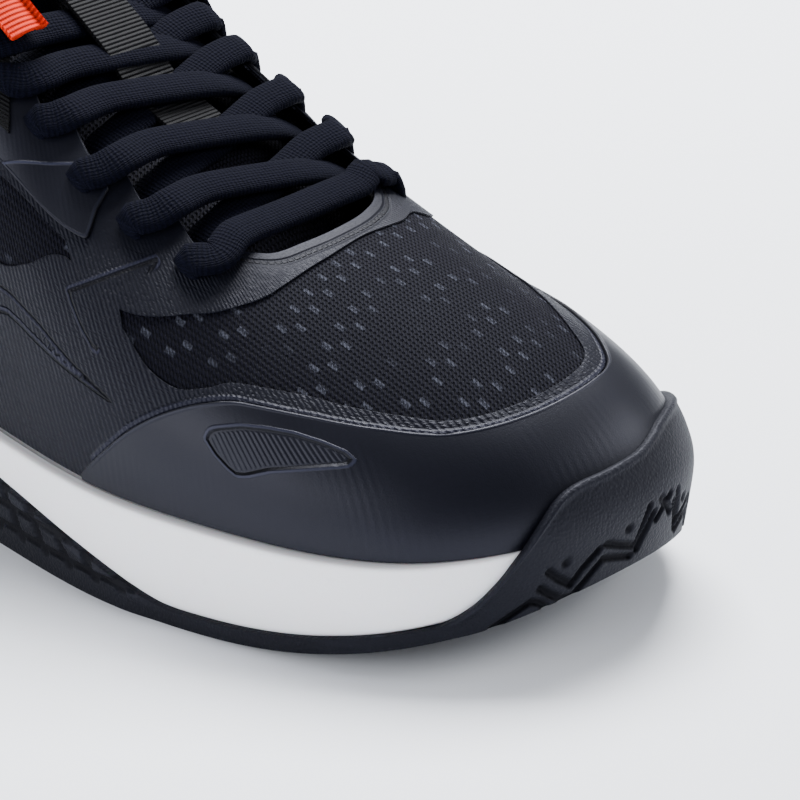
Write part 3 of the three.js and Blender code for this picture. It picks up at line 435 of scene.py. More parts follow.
def filmMaterial():
    look = looks["film"]
    graph = Graph("ribbed_film", {"Specular IOR Level": 0.13, "Specular Tint": coolTint})
    x, y = graph.flat()
    wobble = graph.noise(graph.solid(), 90, 2)
    ribs = (x + y * look["ribLean"] + wobble * 1.2).wave(look["ribPitch"])
    breaks = graph.noise(graph.join(x * 0.45, y * 1.3), 1.0, 3)
    ribbed = graph.mark("ribbed")
    pebble = graph.noise(graph.solid(), 1500, 2)
    bead = (graph.mark("rim") - 0.8).line(0.25, 0.7)
    arrow = graph.mark("arrow")
    rise = (arrow + 0.5).line(0.3, 0.5)
    panel = graph.mark("panel")
    byPanel = 1 - graph.mark("nearPanel").smooth(1.2, 2.4)
    groove = (panel.line(0.12, 0.4) * byPanel).op("MAXIMUM", (arrow - 0.3).line(0.1, 0.35))
    lip = (panel - 0.75).line(0.15, 0.45) * byPanel
    edge = graph.mark("edge")
    paintedEdgeGlint = edge.line(0.2, 0.35)
    stitchLine = graph.mark("stitch")
    dashAt = (x / look["stitchPitch"]).op("FRACT")
    thread = stitchLine.line(0.22, 0.2) * dashAt.smooth(0.04, 0.14) * (1 - dashAt.smooth(0.78, 0.9))
    trench = stitchLine.line(0.45, 0.5)
    band = (stitchLine - 1.2).line(0.7, 0.5)
    height = ribs * breaks.smooth(0.25, 0.6) * ribbed * 0.16 + pebble * 0.09 + bead * 0.3 + rise * 0.6
    height = height - groove * 0.8 + lip * 0.25 + (1 - arrow.smooth(-0.8, 0.2)) * 0.25
    height = height - trench * 0.3 + thread * 0.42
    shade = breaks.smooth(0.25, 0.8) * 0.35 + ribs * ribbed * 0.35 + pebble * 0.15
    color = graph.blend(shade, tint(look["dark"]), tint(look["light"]))
    # Painted highlight: lightens the bead by the cap, the raised arrow, the panel lip, the throat edge and
    # the band inside the stitches
    paintedShine = bead * 0.55 + rise * 0.6 + lip * 0.7 + paintedEdgeGlint * 0.3 + band * 0.12
    color = graph.blend(paintedShine.smooth(0, 1.4), color, tint(look["paintedHighlight"]))
    # Dark stitch thread, and painted shade darkening the embossed grooves
    color = graph.blend((thread + groove * 0.8).smooth(0, 1), color, threadBlackAndGrooveShade)
    roughness = 0.46 - ribs * ribbed * 0.08 + pebble * 0.14 - bead * 0.08
    return graph.finish(color, roughness, height, 1.0)


def capMaterial():
    look = looks["cap"]
    graph = Graph("smooth_synthetic", {"Specular IOR Level": 0.24, "Specular Tint": coolTint})
    place = graph.solid()
    x, y = graph.flat()
    grain = graph.noise(place, 2600, 2)
    cloud = graph.noise(place, 40, 2)
    ghostZone = graph.noise(graph.join(x * 0.06, y * 0.06), 1.0, 1).smooth(0.42, 0.7)
    ghost = (x + cloud * 1.2).wave(1.9) * ghostZone
    fin = graph.mark("fin")
    inside = 1 - fin.smooth(-0.7, 0.0)
    finEdgeShade = (fin + 0.45).line(0.18, 0.3)
    finLip = (fin - 0.35).line(0.15, 0.4)
    lines = (x + y * 0.35).wave(1.5) * (1 - fin.smooth(-1.4, -0.8))
    fold = graph.mark("fold").line(0.12, 0.3)
    rim = graph.mark("rim")
    lip = (rim - 0.4).line(0.1, 0.5)
    seam = rim.line(0.1, 0.2)
    height = grain * look["grainDepth"] + ghost * 0.02 - inside * look["finDepth"] + lines * 0.1 + lip * 0.1
    height = height + finLip * 0.12 + fold * 0.2
    shade = cloud * 0.4 + grain * 0.15 + lines * 0.35 + ghost * 0.15
    color = graph.blend(shade, tint(look["dark"]), tint(look["light"]))
    # Painted highlight: the fin lip, the cap rim and the eyestay fold are lightened towards the edge colour
    paintedGlint = finLip * 0.6 + lip * 0.3 + fold * 0.8
    color = graph.blend(paintedGlint.smooth(0, 1.2), color, tint(look["edge"]))
    # Painted shade along the edge of the fin recess, and a dark joint line at the cap's rim
    color = graph.blend((finEdgeShade + seam * 0.7).smooth(0, 1), color, tint("020203"))
    roughness = 0.36 + grain * 0.08 + cloud * 0.05
    return graph.finish(color, roughness, height, 1.0)


def meshMaterial(name="knit_mesh", dashed=1.0):
    look = looks["mesh"]
    graph = Graph(name, {"Specular IOR Level": 0.08, "Specular Tint": coolTint})
    x, y = graph.flat()
    pitch = look["ribPitch"]
    wobble = graph.noise(graph.join(x * 0.5, y * 0.5), 1.0, 2)
    row = y + wobble * 0.5
    ribs = row.wave(pitch)
    side = (row / pitch).op("FRACT").smooth(0.45, 0.55) * 2 - 1
    loops = (x + side * 0.45 * row.zigzag(pitch)).wave(1.2)
    fuzz = graph.noise(graph.solid(), 3400, 2)
    knit = (ribs * 0.45 + loops * 0.55 + fuzz * 0.2 - 0.1).smooth(0.2, 0.75)
    lane = row / dashes["lane"]
    number = lane.op("FLOOR")
    along = (x - number * dashes["step"]) / dashes["pitch"]
    cell = along.op("FRACT")
    dash = (cell - 0.5).line(dashes["length"] / 2, 0.05)
    dash = dash * (lane.op("FRACT") - 0.5).line(dashes["half"] / 2, 0.08)
    filled = (number + along.op("FLOOR") * 2).op("FLOORED_MODULO", 3).op("LESS_THAN", 1.5)
    zone = graph.noise(graph.join(x * 0.035, y * 0.05), 1.0, 1).smooth(0.33, 0.52)
    dash = dash * filled * cellChance(graph, along, lane, dashes["dropped"]) * zone * dashed
    height = knit + dash * 0.3
    color = graph.blend(knit * 0.75 + fuzz * 0.3, tint(look["dark"]), tint(look["light"]))
    color = graph.blend(dash * (knit * 0.6 + 0.4) * fuzz.smooth(0.2, 0.6), color, tint(look["dash"]))
    return graph.finish(color, 0.66 + fuzz * 0.15, height, look["depth"])


# 0 or 1 for each cell of a lattice
def cellChance(graph, x, y, dropped):
    vector = graph.join(x.op("FLOOR"), y.op("FLOOR"))
    picked = graph.node("TexWhiteNoise", {"noise_dimensions": "2D"}, {"Vector": vector})
    return picked.op("GREATER_THAN", dropped)


def laceMaterial():
    look = looks["lace"]
    graph = Graph("flat_woven_lace", {"Specular IOR Level": 0.06, "Specular Tint": coolTint})
    x, y = graph.flat()
    pitch = look["weavePitch"]
    wobble = graph.noise(graph.solid(), 500, 1)
    yarn = (x + wobble * 0.5).wave(pitch)
    cross = (y + wobble * 0.4).wave(0.6)
    fuzz = graph.noise(graph.solid(), 2600, 3)
    cloud = graph.noise(graph.solid(), 160, 2)
    height = yarn * 0.4 + cross * 0.3 + fuzz * 0.8
    shade = (yarn * 0.3 + cross * 0.2 + fuzz * 0.6 + cloud * 0.1 - 0.2).smooth(0, 1)
    color = graph.blend(shade, tint(look["dark"]), tint(look["light"]))
    return graph.finish(color, 0.78 + fuzz * 0.15, height, look["depth"])


def webbingMaterial(name, look):
    graph = Graph(name, {"Specular IOR Level": 0.12})
    x, y = graph.flat()
    ribs = x.wave(look["ribPitch"])
    fibres = graph.noise(graph.join(x * 0.6, y * 6), 1.0, 3)
    yarn = y.wave(0.6)
    height = (ribs ** 0.7) + fibres * 0.2 + yarn * 0.12
    shade = ribs * 0.7 + fibres * 0.3
    color = graph.blend(shade, tint(look["dark"]), tint(look["light"]))
    return graph.finish(color, 0.6 + fibres * 0.25, height, look["depth"])


def foamMaterial():
    look = looks["foam"]
    fixed = {"Specular IOR Level": 0.35, "Subsurface Weight": 0.1, "Subsurface Scale": 0.002}
    graph = Graph("moulded_foam", fixed)
    place = graph.solid()
    skin = graph.noise(place, 900, 3)
    cloud = graph.noise(place, 45, 2)
    scuff = graph.noise(place, 260, 4).smooth(0.62, 0.75)
    shade = 0.55 + cloud * 0.45 - scuff * 0.25
    color = graph.blend(shade, tint(look["dark"]), tint(look["light"]))
    return graph.finish(color, 0.55 + cloud * 0.15, skin, look["depth"])


def rubberMaterial():
    look = looks["rubber"]
    graph = Graph("pebbled_rubber", {"Specular IOR Level": 0.2, "Specular Tint": coolTint})
    place = graph.solid()
    pebbles = {"Vector": place, "Scale": 1000 / look["pebble"], "Smoothness": 0.6}
    cells = graph.node("TexVoronoi", {"feature": "SMOOTH_F1"}, pebbles)
    fine = graph.noise(place, 3200, 2)
    cloud = graph.noise(place, 70, 2)
    pit = graph.mark("pit")
    lip = graph.mark("lip")
    height = (1 - cells) * 0.7 * (1 - pit * 0.7) + fine * 0.35
    # Painted highlight: the guard's raised bead rim (lip) is lightened; painted shade: its grooves and
    # dimples (pit) are darkened
    shade = fine * 0.3 + cloud * 0.4 + lip * 0.35 - pit * 0.6
    color = graph.blend(shade.smooth(0, 1), tint(look["dark"]), tint(look["light"]))
    # Painted shade: the guard's grooves and dimples are darkened to near black
    color = graph.blend(pit.smooth(0.2, 0.9), color, tint("010102"))
    return graph.finish(color, 0.52 + fine * 0.2 + pit * 0.2 - lip * 0.06, height, look["depth"])


def softMaterial(name, look, pitch):
    graph = Graph(name, {"Specular IOR Level": 0.15, "Sheen Weight": 0.04, "Sheen Roughness": 0.5})
    place = graph.solid()
    threads = graph.noise(place, 1000 / pitch, 2)
    fine = graph.noise(place, 3500, 2)
    cloud = graph.noise(place, 50, 2)
    height = threads + fine * 0.5
    shade = threads * 0.5 + cloud * 0.5
    color = graph.blend(shade.smooth(0.2, 0.8), tint(look["dark"]), tint(look["light"]))
    return graph.finish(color, 0.82 + fine * 0.12, height, look["depth"])


def hardMaterial(name, look, roughness):
    graph = Graph(name, {"Specular IOR Level": 0.5})
    place = graph.solid()
    grain = graph.noise(place, 2400, 2)
    cloud = graph.noise(place, 70, 3)
    scratch = graph.noise(place, 320, 5).smooth(0.6, 0.7)
    color = graph.blend(cloud * 0.7 + grain * 0.3, tint(look["dark"]), tint(look["light"]))
    return graph.finish(color, roughness + grain * 0.12 + scratch * 0.1, grain, look["depth"])


materials = {
    "film": filmMaterial(),
    "cap": capMaterial(),
    "mesh": meshMaterial(),
    "plainMesh": meshMaterial("knit_base", 0.0),
    "lace": laceMaterial(),
    "webbing": webbingMaterial("ribbed_tape", looks["webbing"]),
    "orange": webbingMaterial("orange_tape", looks["orange"]),
    "foam": foamMaterial(),
    "rubber": rubberMaterial(),
    "lining": softMaterial("brushed_lining", looks["lining"], 0.9),
    "padding": softMaterial("padding_foam", looks["padding"], 1.4),
    "plastic": hardMaterial("moulded_plastic", looks["plastic"], 0.38),
    "board": hardMaterial("fibre_board", looks["board"], 0.75),
    "clear": hardMaterial("clear_tip", looks["clear"], 0.2),
}


# Building pieces

weldDistance = 0.00002
farAway = 99.0

def finishPiece(mesh, name, look, body, replaces):
    bmesh.ops.recalc_face_normals(mesh, faces=mesh.faces)
    for face in mesh.faces:
        face.smooth = True
    data = bpy.data.meshes.new(name)
    mesh.to_mesh(data)
    mesh.free()
    piece = bpy.data.objects.new(name, data)
    bpy.context.scene.collection.objects.link(piece)
    data.materials.append(materials[look])
    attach(piece, body)
    if replaces:
        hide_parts(*replaces)
    return piece


# A grid of cells laid out by place(i, j). flat gives its flat coordinates and marks its shader values
def gridPiece(name, cells, place, flat, look, slot, marks=None, keep=None, depth=0.0, edge=0.0, closed=False,
              body="shoe", replaces=()):
    nu, nv = cells
    mesh = bmesh.new()
    bmesh.ops.create_grid(mesh, x_segments=nu, y_segments=nv, size=1)
    mesh.verts.ensure_lookup_table()
    spots = np.array([v.co[:2] for v in mesh.verts])
    i = np.rint((spots[:, 0] + 1) / 2 * nu)
    j = np.rint((spots[:, 1] + 1) / 2 * nv)
    layout = mesh.loops.layers.uv.new("UVMap")
    markLayers = {key: mesh.verts.layers.float.new(key) for key in marks or {}}
    values = {key: make(i, j) for key, make in (marks or {}).items()}
    where = toMetres(place(i, j))
    flatX, flatY = flat(i, j)
    for k, vert in enumerate(mesh.verts):
        vert.co = where[k]
        for key, layer in markLayers.items():
            vert[layer] = values[key][k]
    for face in mesh.faces:
        for loop in face.loops:
            k = loop.vert.index
            loop[layout].uv = (flatX[k], flatY[k])
    if keep is not None:
        gone = [face for face in mesh.faces if not keep(*faceCell(face, i, j))]
        bmesh.ops.delete(mesh, geom=gone, context="FACES")
    if closed:
        bmesh.ops.remove_doubles(mesh, verts=mesh.verts, dist=weldDistance)
    if depth:
        mesh.normal_update()
        away = {vert: vert.normal.copy() for vert in mesh.verts}
        rims = [e for e in mesh.edges if e.is_boundary]
        made = bmesh.ops.extrude_edge_only(mesh, edges=rims)["geom"]
        for vert in [g for g in made if isinstance(g, bmesh.types.BMVert)]:
            others = [e.other_vert(vert) for e in vert.link_edges]
            partner = min(others, key=lambda v: (v.co - vert.co).length)
            vert.co -= away.get(partner, Vector()) * depth * metre
        if edge:
            rims = [e for e in rims if e.is_valid]
            bmesh.ops.bevel(mesh, geom=rims, offset=edge * metre, offset_type="OFFSET", segments=2,
                            profile=0.5, material=-1, affect="EDGES")
    return finishPiece(mesh, name, look, body, replaces)


def faceCell(face, i, j):
    at = [vert.index for vert in face.verts]
    return int(min(i[at])), int(min(j[at]))


# Lengths along and up the upper, for flat coordinates
ringPlaces = np.linspace(-12, 36, 961)
ringPoints = upperShape(ringPlaces, 0.4)
ringLengths = np.concatenate([[0], np.cumsum(np.linalg.norm(np.diff(ringPoints, axis=0), axis=1))])
heights = upperShape(ringPlaces[:, None], np.linspace(0, 1, 13)[None, :])
wallHeights = np.linalg.norm(np.diff(heights, axis=1), axis=2).sum(1)


def alongOf(u):
    return np.interp(u, ringPlaces, ringLengths)


def heightOf(u):
    return np.interp(u, ringPlaces, wallHeights)


# Distance in millimetres from a (station, share) place to an edge curve, signed upwards
def edgeDistance(u, v, edge):
    high = heightOf(u)
    lean = (edge(u + 0.03) - edge(u - 0.03)) * high / (alongOf(u + 0.03) - alongOf(u - 0.03))
    return (v - edge(u)) * high / np.hypot(1, lean)


def toSegment(x, y, a, b):
    ax, ay, wide, high = a[0], a[1], b[0] - a[0], b[1] - a[1]
    share = np.clip(((x - ax) * wide + (y - ay) * high) / (wide ** 2 + high ** 2), 0, 1)
    return np.hypot(x - ax - share * wide, y - ay - share * high)


# Distance in millimetres to a line through (station, share) places
def lineDistance(u, v, corners, closed=False):
    x, y = alongOf(u), v * heightOf(u)
    best = np.full(x.shape, farAway)
    spots = [(float(alongOf(a)), float(b * heightOf(a))) for a, b in corners]
    for a, b in zip(spots, spots[1:] + spots[:1] * closed):
        best = np.minimum(best, toSegment(x, y, a, b))
    return best


# The same to a closed outline, negative inside it
def outlineDistance(u, v, corners):
    inside = np.zeros(u.shape, bool)
    for (au, av), (bu, bv) in zip(corners, corners[1:] + corners[:1]):
        crosses = ((av > v) != (bv > v)) & (u < (bu - au) * (v - av) / (bv - av + 1e-9) + au)
        inside ^= crosses
    best = lineDistance(u, v, corners, True)
    return np.where(inside, -best, best)


# A skin on the upper between two stations and two edge curves
def upperSkin(name, span, low, high, rows, offset, look, slot, step=0.05, marks=None, flat=None, **more):
    columns = max(4, round((span[1] - span[0]) / step))

    def spot(i, j):
        u = span[0] + (span[1] - span[0]) * i / columns
        return u, low(u) + (high(u) - low(u)) * j / rows

    def place(i, j):
        u, v = spot(i, j)
        return upperPoint(u, v, offset(u, v) if callable(offset) else offset)

    def laid(i, j):
        u, v = spot(i, j)
        return flat(u, v) if flat else (alongOf(u), v * heightOf(u))

    made = {key: (lambda i, j, make=make: make(*spot(i, j))) for key, make in (marks or {}).items()}
    return gridPiece(name, (columns, rows), place, laid, look, slot, marks=made, **more)


# A round or flat cord along a line of rows: centre, width direction, width, thickness
def sweepPiece(name, line, look, slot, sides=16, spacing=1.6, square=0.75, soft=0.0, **more):
    line = np.array(line, float)
    gaps = np.linalg.norm(np.diff(line[:, :3], axis=0), axis=1)
    knots = np.concatenate([[0], np.cumsum(np.sqrt(np.maximum(gaps, 1e-3)))])
    lengths = np.concatenate([[0], np.cumsum(gaps)])
    count = max(3, round(lengths[-1] / spacing))
    at = np.interp(np.linspace(0, lengths[-1], count + 1), lengths, knots)
    rows = curveThrough(knots, line, at)
    run = np.concatenate([[0], np.cumsum(np.linalg.norm(np.diff(rows[:, :3], axis=0), axis=1))])
    along = unit(np.gradient(rows[:, :3], axis=0))
    wide = rows[:, 3:6]
    wide = unit(wide - along * np.sum(wide * along, 1, keepdims=True))
    thick = np.cross(along, wide)

    def place(i, j):
        i = i.astype(int)
        angle = 2 * np.pi * j / sides
        cos, sin = np.cos(angle), np.sin(angle)
        across = np.sign(cos) * np.abs(cos) ** square * rows[i, 6] / 2
        up = np.sign(sin) * np.abs(sin) ** square * rows[i, 7] / 2
        swell = 1 + soft * np.sin(run[i] * 0.9) * 0.5
        return rows[i, :3] + wide[i] * across[:, None] + thick[i] * (up * swell)[:, None]

    def flat(i, j):
        i = i.astype(int)
        return run[i], j / sides * 2 * (rows[i, 6] + rows[i, 7])

    piece = gridPiece(name, (count, sides), place, flat, look, slot, closed=True, **more)
    return piece, toMetres(rows[:, :3])


def always(value):
    return lambda u: np.full(np.shape(u), float(value))


print("stage: cords")
lace = {
    "width": 8.2, "thickness": 3.3, "startShare": 0.5, "forward": 4.5, "gap": 0.2, "hiddenRun": 0.68,
    "hiddenWidth": 5.5, "hiddenThickness": 2.2,
}
laceHeights = {
    "bar": [[18, 0.9], [9, 0.7], [0, 0.6], [-9, 0.7], [-18, 0.9]],
    "over": [[-26, -6], [-21, -2.6], [-15, -0.2], [-8, 0.9], [0, 1.3], [9, 1.5], [18, 1.2]],
    "under": [[-24, -6], [-17, -3.6], [-9, -2.2], [0, -1.7], [9, -0.6], [18, 1]],
}
inEyelet = {
    "width": 4.6, "thickness": 2.6,
    "outer": {"sunk": 0.6, "dive": 0.012}, "inner": {"sunk": 1, "dive": 0.04, "reach": 0.92},
}
barRows = 6
topRow = 6
knot = {"x": 121, "height": 6.2, "size": [5, 7, 3.6], "creases": [[0.16, -1.2, 0, 0.5], [0.1, 0, 2, 0.4]]}
freeEnd = {"width": 5.5, "thickness": 2.2, "station": 5.46, "off": 4.4, "tipWidth": 3.8, "tipThickness": 2.8}
bowWidth = 6.4
laceRows = [float(upperShape(u, v)[0]) for u, v in eyelets]


def upPoint(u, v, offset):
    return upperPoint(np.array([float(u)]), np.array([float(v)]), offset)[0]


def uphill(x):
    return unit(np.array([-1, 0, float(throatAt(x - 3) - throatAt(x + 3)) / 6]))


def row(centre, across, width, thickness):
    return [*centre, *across, width, thickness]


# The station at which the throat edge on one side is as far along as a lace row
def edgePlace(x, outer):
    places = np.linspace(6, 9.5, 400)
    there = upperShape(mirrored(places, outer), 1)[:, 0]
    return mirrored(float(np.interp(x, there, places)), outer)


# Over the throat edge and down into an eyelet. On the inner side the lace turns in nearer the edge
def throughEyelet(index, outer, last=False):
    u, v = mirrored(eyelets[index][0], outer), eyelets[index][1]
    x = laceRows[index]
    across = uphill(x)
    above = layers["overlay"] + lace["gap"] + lace["thickness"] / 2
    rim = edgePlace(x + lace["forward"] * (0.5 if index == 0 else 1), outer)
    width, thickness = lace["width"], lace["thickness"]
    inside = layers["lining"]
    side = inEyelet["outer" if outer else "inner"]
    reach, sunk, dive = side.get("reach", v), side["sunk"], side["dive"]
    hole = u if outer else (u + rim) / 2
    return [
        row(upPoint(rim, 1, above - sunk), across, width, thickness),
        row(upPoint((hole + rim) / 2, (reach + 1) / 2, above - sunk), across, width, thickness),
        row(upPoint(hole, reach + 0.01, above - 0.7), across, width - 0.6, thickness),
        row(upPoint(hole, reach - dive, -1.3), across, inEyelet["width"], inEyelet["thickness"]),
        row(upPoint(hole, reach - 0.03, inside - 0.5), across, inEyelet["width"], inEyelet["thickness"]),
        row(upPoint(u, v + (-0.05 if last else 0.04), inside - lace["gap"] - 2.2), across, 5, 2.2),
    ]


def laceBehind(fromRow, toRow, outer):
    ends = [mirrored(eyelets[k][0], outer) for k in (fromRow, toRow)]
    depth = layers["lining"] - 2 * lace["gap"] - 1.1
    steps = max(2, round(abs(ends[0] - ends[1]) / 0.4))
    line = []
    for k in range(steps + 1):
        u = ends[0] + (ends[1] - ends[0]) * k / steps
        rising = unit(upPoint(u, lace["hiddenRun"] + 0.03, 0) - upPoint(u, lace["hiddenRun"] - 0.03, 0))
        turn = uphill(upPoint(u, lace["hiddenRun"], 0)[0]) * ((k == 0) - (k == steps)) * (1 if outer else -1)
        centre = upPoint(u, lace["hiddenRun"], depth)
        line.append(row(centre, rising + turn, lace["hiddenWidth"], lace["hiddenThickness"]))
    return line


# The lowest lace goes straight across
def laceBar():
    line = []
    for y, height in laceHeights["bar"]:
        x = laceRows[0] + lace["forward"] / 2
        line.append(row(overThroat(x, y, height), uphill(x), lace["width"], lace["thickness"]))
    return line


# Each of the others comes out under the far edge, crosses the tongue and goes over the near edge
def laceAcross(index, outer):
    side = -1 if outer else 1
    here = laceRows[index]
    start = here + (laceRows[index - 1] - here) * lace["startShare"]
    line = []
    for y, height in laceHeights["over" if outer else "under"]:
        x = here + lace["forward"] + (start - here) * (18 - y) / 42
        line.append(row(overThroat(x, side * y, height), uphill(x), lace["width"], lace["thickness"] - 0.3))
    return line


def toKnot(outer):
    side = -1 if outer else 1
    line = []
    for x, y, height in ([0, 3.5, 0], [0.5, 8, -0.4], [3, 17, -1.4]):
        centre = overThroat(knot["x"] + x, side * y, knot["height"] + height)
        line.append(row(centre, uphill(knot["x"]), 7, 2.6))
    return line


def turnOver(line):
    return [[*r[:3], -r[3], -r[4], -r[5], *r[6:]] for r in line]


# Half of the lace, from the lowest bar up through the rows to the knot
def halfLace(outer):
    line = throughEyelet(0, outer)
    for index in range(1, barRows):
        outer = not outer
        line += laceAcross(index, outer) + throughEyelet(index, outer, index == barRows - 1)
    line += laceBehind(barRows - 1, topRow, True) if outer else laceBehind(topRow, barRows - 1, False)[::-1]
    return line + turnOver(toKnot(outer) + throughEyelet(topRow, outer, True))[::-1]


def lacedRun():
    return halfLace(False)[::-1] + laceBar() + halfLace(True)


def drape(outer, first, places, width):
    side = -1 if outer else 1
    points = [overThroat(x, side * y, height) for x, y, height in first]
    points += [upPoint(mirrored(u, outer), v, off) for u, v, off in places]
    points = np.array([np.ravel(p) for p in points])
    along = unit(np.gradient(points, axis=0))
    across = np.cross(along, [0, side * 0.8, 0.6])
    return [row(p, a, width, freeEnd["thickness"]) for p, a in zip(points, across)]


loopPath = [
    [5.95, 0.98, 8.8], [6, 0.8, 7.8], [5.86, 0.62, 7.4], [5.55, 0.55, 7.4], [5.2, 0.66, 7.6], [5.05, 0.85, 9],
    [5.25, 1, 10.6],
]
endPath = [[5.56, 1, 5.2], [5.56, 0.8, 4.2], [5.56, 0.6, 4.2], [5.52, 0.42, 4.2], [5.46, 0.3, 4.4]]


def makeLaces():
    sweepPiece("lace_run", lacedRun(), "lace", "lace", replaces=["lace"])
    for outer in (True, False):
        side = "outer" if outer else "inner"
        loop = drape(outer, [[120, 3, 7.4], [122, 14, 9]], loopPath, bowWidth)
        sweepPiece("bow_loop_" + side, loop, "lace", "lace", replaces=["lace"])
        end = drape(outer, [[116.6, 3, 2.2], [116.4, 9, 2], [115.5, 16, 3]], endPath, freeEnd["width"])
        piece, route = sweepPiece("free_end_" + side, end, "lace", "lace", replaces=["lace_end_" + side])
        u = mirrored(freeEnd["station"], outer)
        points = [upPoint(u, v, freeEnd["off"]) for v in (0.294, 0.25, 0.2, 0.14, 0.07)]
        tip = [row(point, [1, 0, 0], freeEnd["tipWidth"], freeEnd["tipThickness"]) for point in points]
        cap, _ = sweepPiece("lace_tip_" + side, tip, "clear", "clear", spacing=1.0, square=0.9,
                            replaces=["aglet_" + side])


makeLaces()


def makeKnot():
    mesh = bmesh.new()
    bmesh.ops.create_uvsphere(mesh, u_segments=40, v_segments=24, radius=1, calc_uvs=True)
    centre = overThroat(knot["x"], 0, knot["height"])
    layout = mesh.loops.layers.uv.verify()
    for face in mesh.faces:
        for loop in face.loops:
            loop[layout].uv = (loop[layout].uv[0] * 40, loop[layout].uv[1] * 14)
    for vert in mesh.verts:
        x, y, z = vert.co
        crease = 1
        for deep, lean, shift, half in knot["creases"]:
            crease -= deep * math.exp(-((y * 3 + x * lean + shift) / half) ** 2)
        size = [a * crease for a in knot["size"]]
        vert.co = toMetres(centre + np.array([x * size[0], y * size[1], z * size[2]]))
    piece = finishPiece(mesh, "bow_knot", "lace", "shoe", ["lace"])
    piece.data.uv_layers[0].name = "UVMap"


makeKnot()


print("stage: upper")
upper = {
    "step": 0.045, "baseRows": 60, "lowRows": 34, "windowRows": 12, "highRows": 34, "stitchIn": 2.3,
    "foot": 0.012, "baseFoot": 0.02, "vamp": (5.6, 18.4), "quarter": (0.012, 5.588), "cap": (6.8, 17.2),
    "eyestay": (5.35, 7.62), "overlayDepth": 0.6, "baseDepth": 0.45,
}
smoothFold = [[5.0, 0.46], [6.3, 0.66], [6.93, 0.66], [7.32, 0.68], [8.07, 0.8], [8.9, 0.95]]


def edgeOf(pairs):
    return lambda u: curveAt(pairs, u)


def bothEnds(span, outer):
    return tuple(sorted(mirrored(u, outer) for u in span))


# The film is ribbed below a fold and smooth above it
def ribbedShare(u, v):
    return 1 / (1 + np.exp((v - curveAt(smoothFold, outerPlace(u))) * 60))


def capRim(u, v):
    near = edgeDistance(u, v, edgeOf(capEdge))
    return np.where((u > upper["cap"][0] + 0.1) & (u < upper["cap"][1] - 0.1), near, farAway)


def throatStitch(u, v):
    near = edgeDistance(u, v, always(throatNotches["edge"])) + upper["stitchIn"]
    return np.where(outerPlace(u) > throatFront, near, farAway)


def onEachSide(measure, *places):
    return lambda u, v: measure(outerPlace(u), v, *places)


def makeFilm():
    edges = [filmEnds[0], *np.ravel(windows), filmEnds[1]]
    columns = []
    for a, b in zip(edges, edges[1:]):
        columns += list(np.linspace(a, b, max(2, round((b - a) / upper["step"])) + 1)[:-1])
    columns = np.array(columns + [filmEnds[1]])
    low, middle, high = upper["lowRows"], upper["windowRows"], upper["highRows"]

    def spot(i, j):
        u = columns[i.astype(int)]
        foot = np.full(u.shape, upper["foot"])
        levels = [foot, curveAt(windowLow, u), curveAt(windowHigh, u), throatEdge(u)]
        first = levels[0] + (levels[1] - levels[0]) * np.clip(j / low, 0, 1)
        second = (levels[2] - levels[1]) * np.clip((j - low) / middle, 0, 1)
        third = (levels[3] - levels[2]) * np.clip((j - low - middle) / high, 0, 1)
        return u, first + second + third

    def keep(i, j):
        inWindow = any(a - 1e-6 <= columns[i] and columns[i + 1] <= b + 1e-6 for a, b in windows)
        return not (inWindow and low <= j < low + middle)

    def place(i, j):
        u, v = spot(i, j)
        return upperPoint(u, v, layers["film"])

    def flat(i, j):
        u, v = spot(i, j)
        return alongOf(u), v * heightOf(u)

    marks = {
        "ribbed": ribbedShare, "rim": capRim, "stitch": throatStitch,
        "panel": onEachSide(outlineDistance, panelLine), "nearPanel": onEachSide(lineDistance, panelLine),
        "arrow": onEachSide(outlineDistance, arrow), "edge": lambda u, v: edgeDistance(u, v, throatEdge),
    }
    made = {key: (lambda i, j, make=make: make(*spot(i, j))) for key, make in marks.items()}
    cells = (len(columns) - 1, low + middle + high)
    gridPiece("film_skin", cells, place, flat, "film", "film", marks=made, keep=keep, depth=0.35, edge=0.1,
              replaces=["film_overlay"])


# Flat coordinates of the vamp: along the shoe, and round it from its middle line
crestPlaces = upperShape(12.2, np.linspace(1, 0, 60))


def vampFlat(u, v):
    points = upperShape(u, v)
    x, y, z = points[..., 0], points[..., 1] - 4, points[..., 2]
    crest = np.where(x < 213, throatAt(x), np.interp(x, crestPlaces[:, 0], crestPlaces[:, 2]))
    return x * 1.08, np.sign(y) * np.hypot(y, np.maximum(crest - z, 0))


def edgeRim(low, high):
    return lambda u, v: np.minimum(edgeDistance(u, v, low), -edgeDistance(u, v, high))


def plain(u, v):
    return np.full(u.shape, farAway)


strap = {
    "columns": 14, "rows": 26, "low": 0.765, "high": 0.97, "front": 6.64, "lean": 0.75, "width": 0.32,
    "depth": 0.7,
}


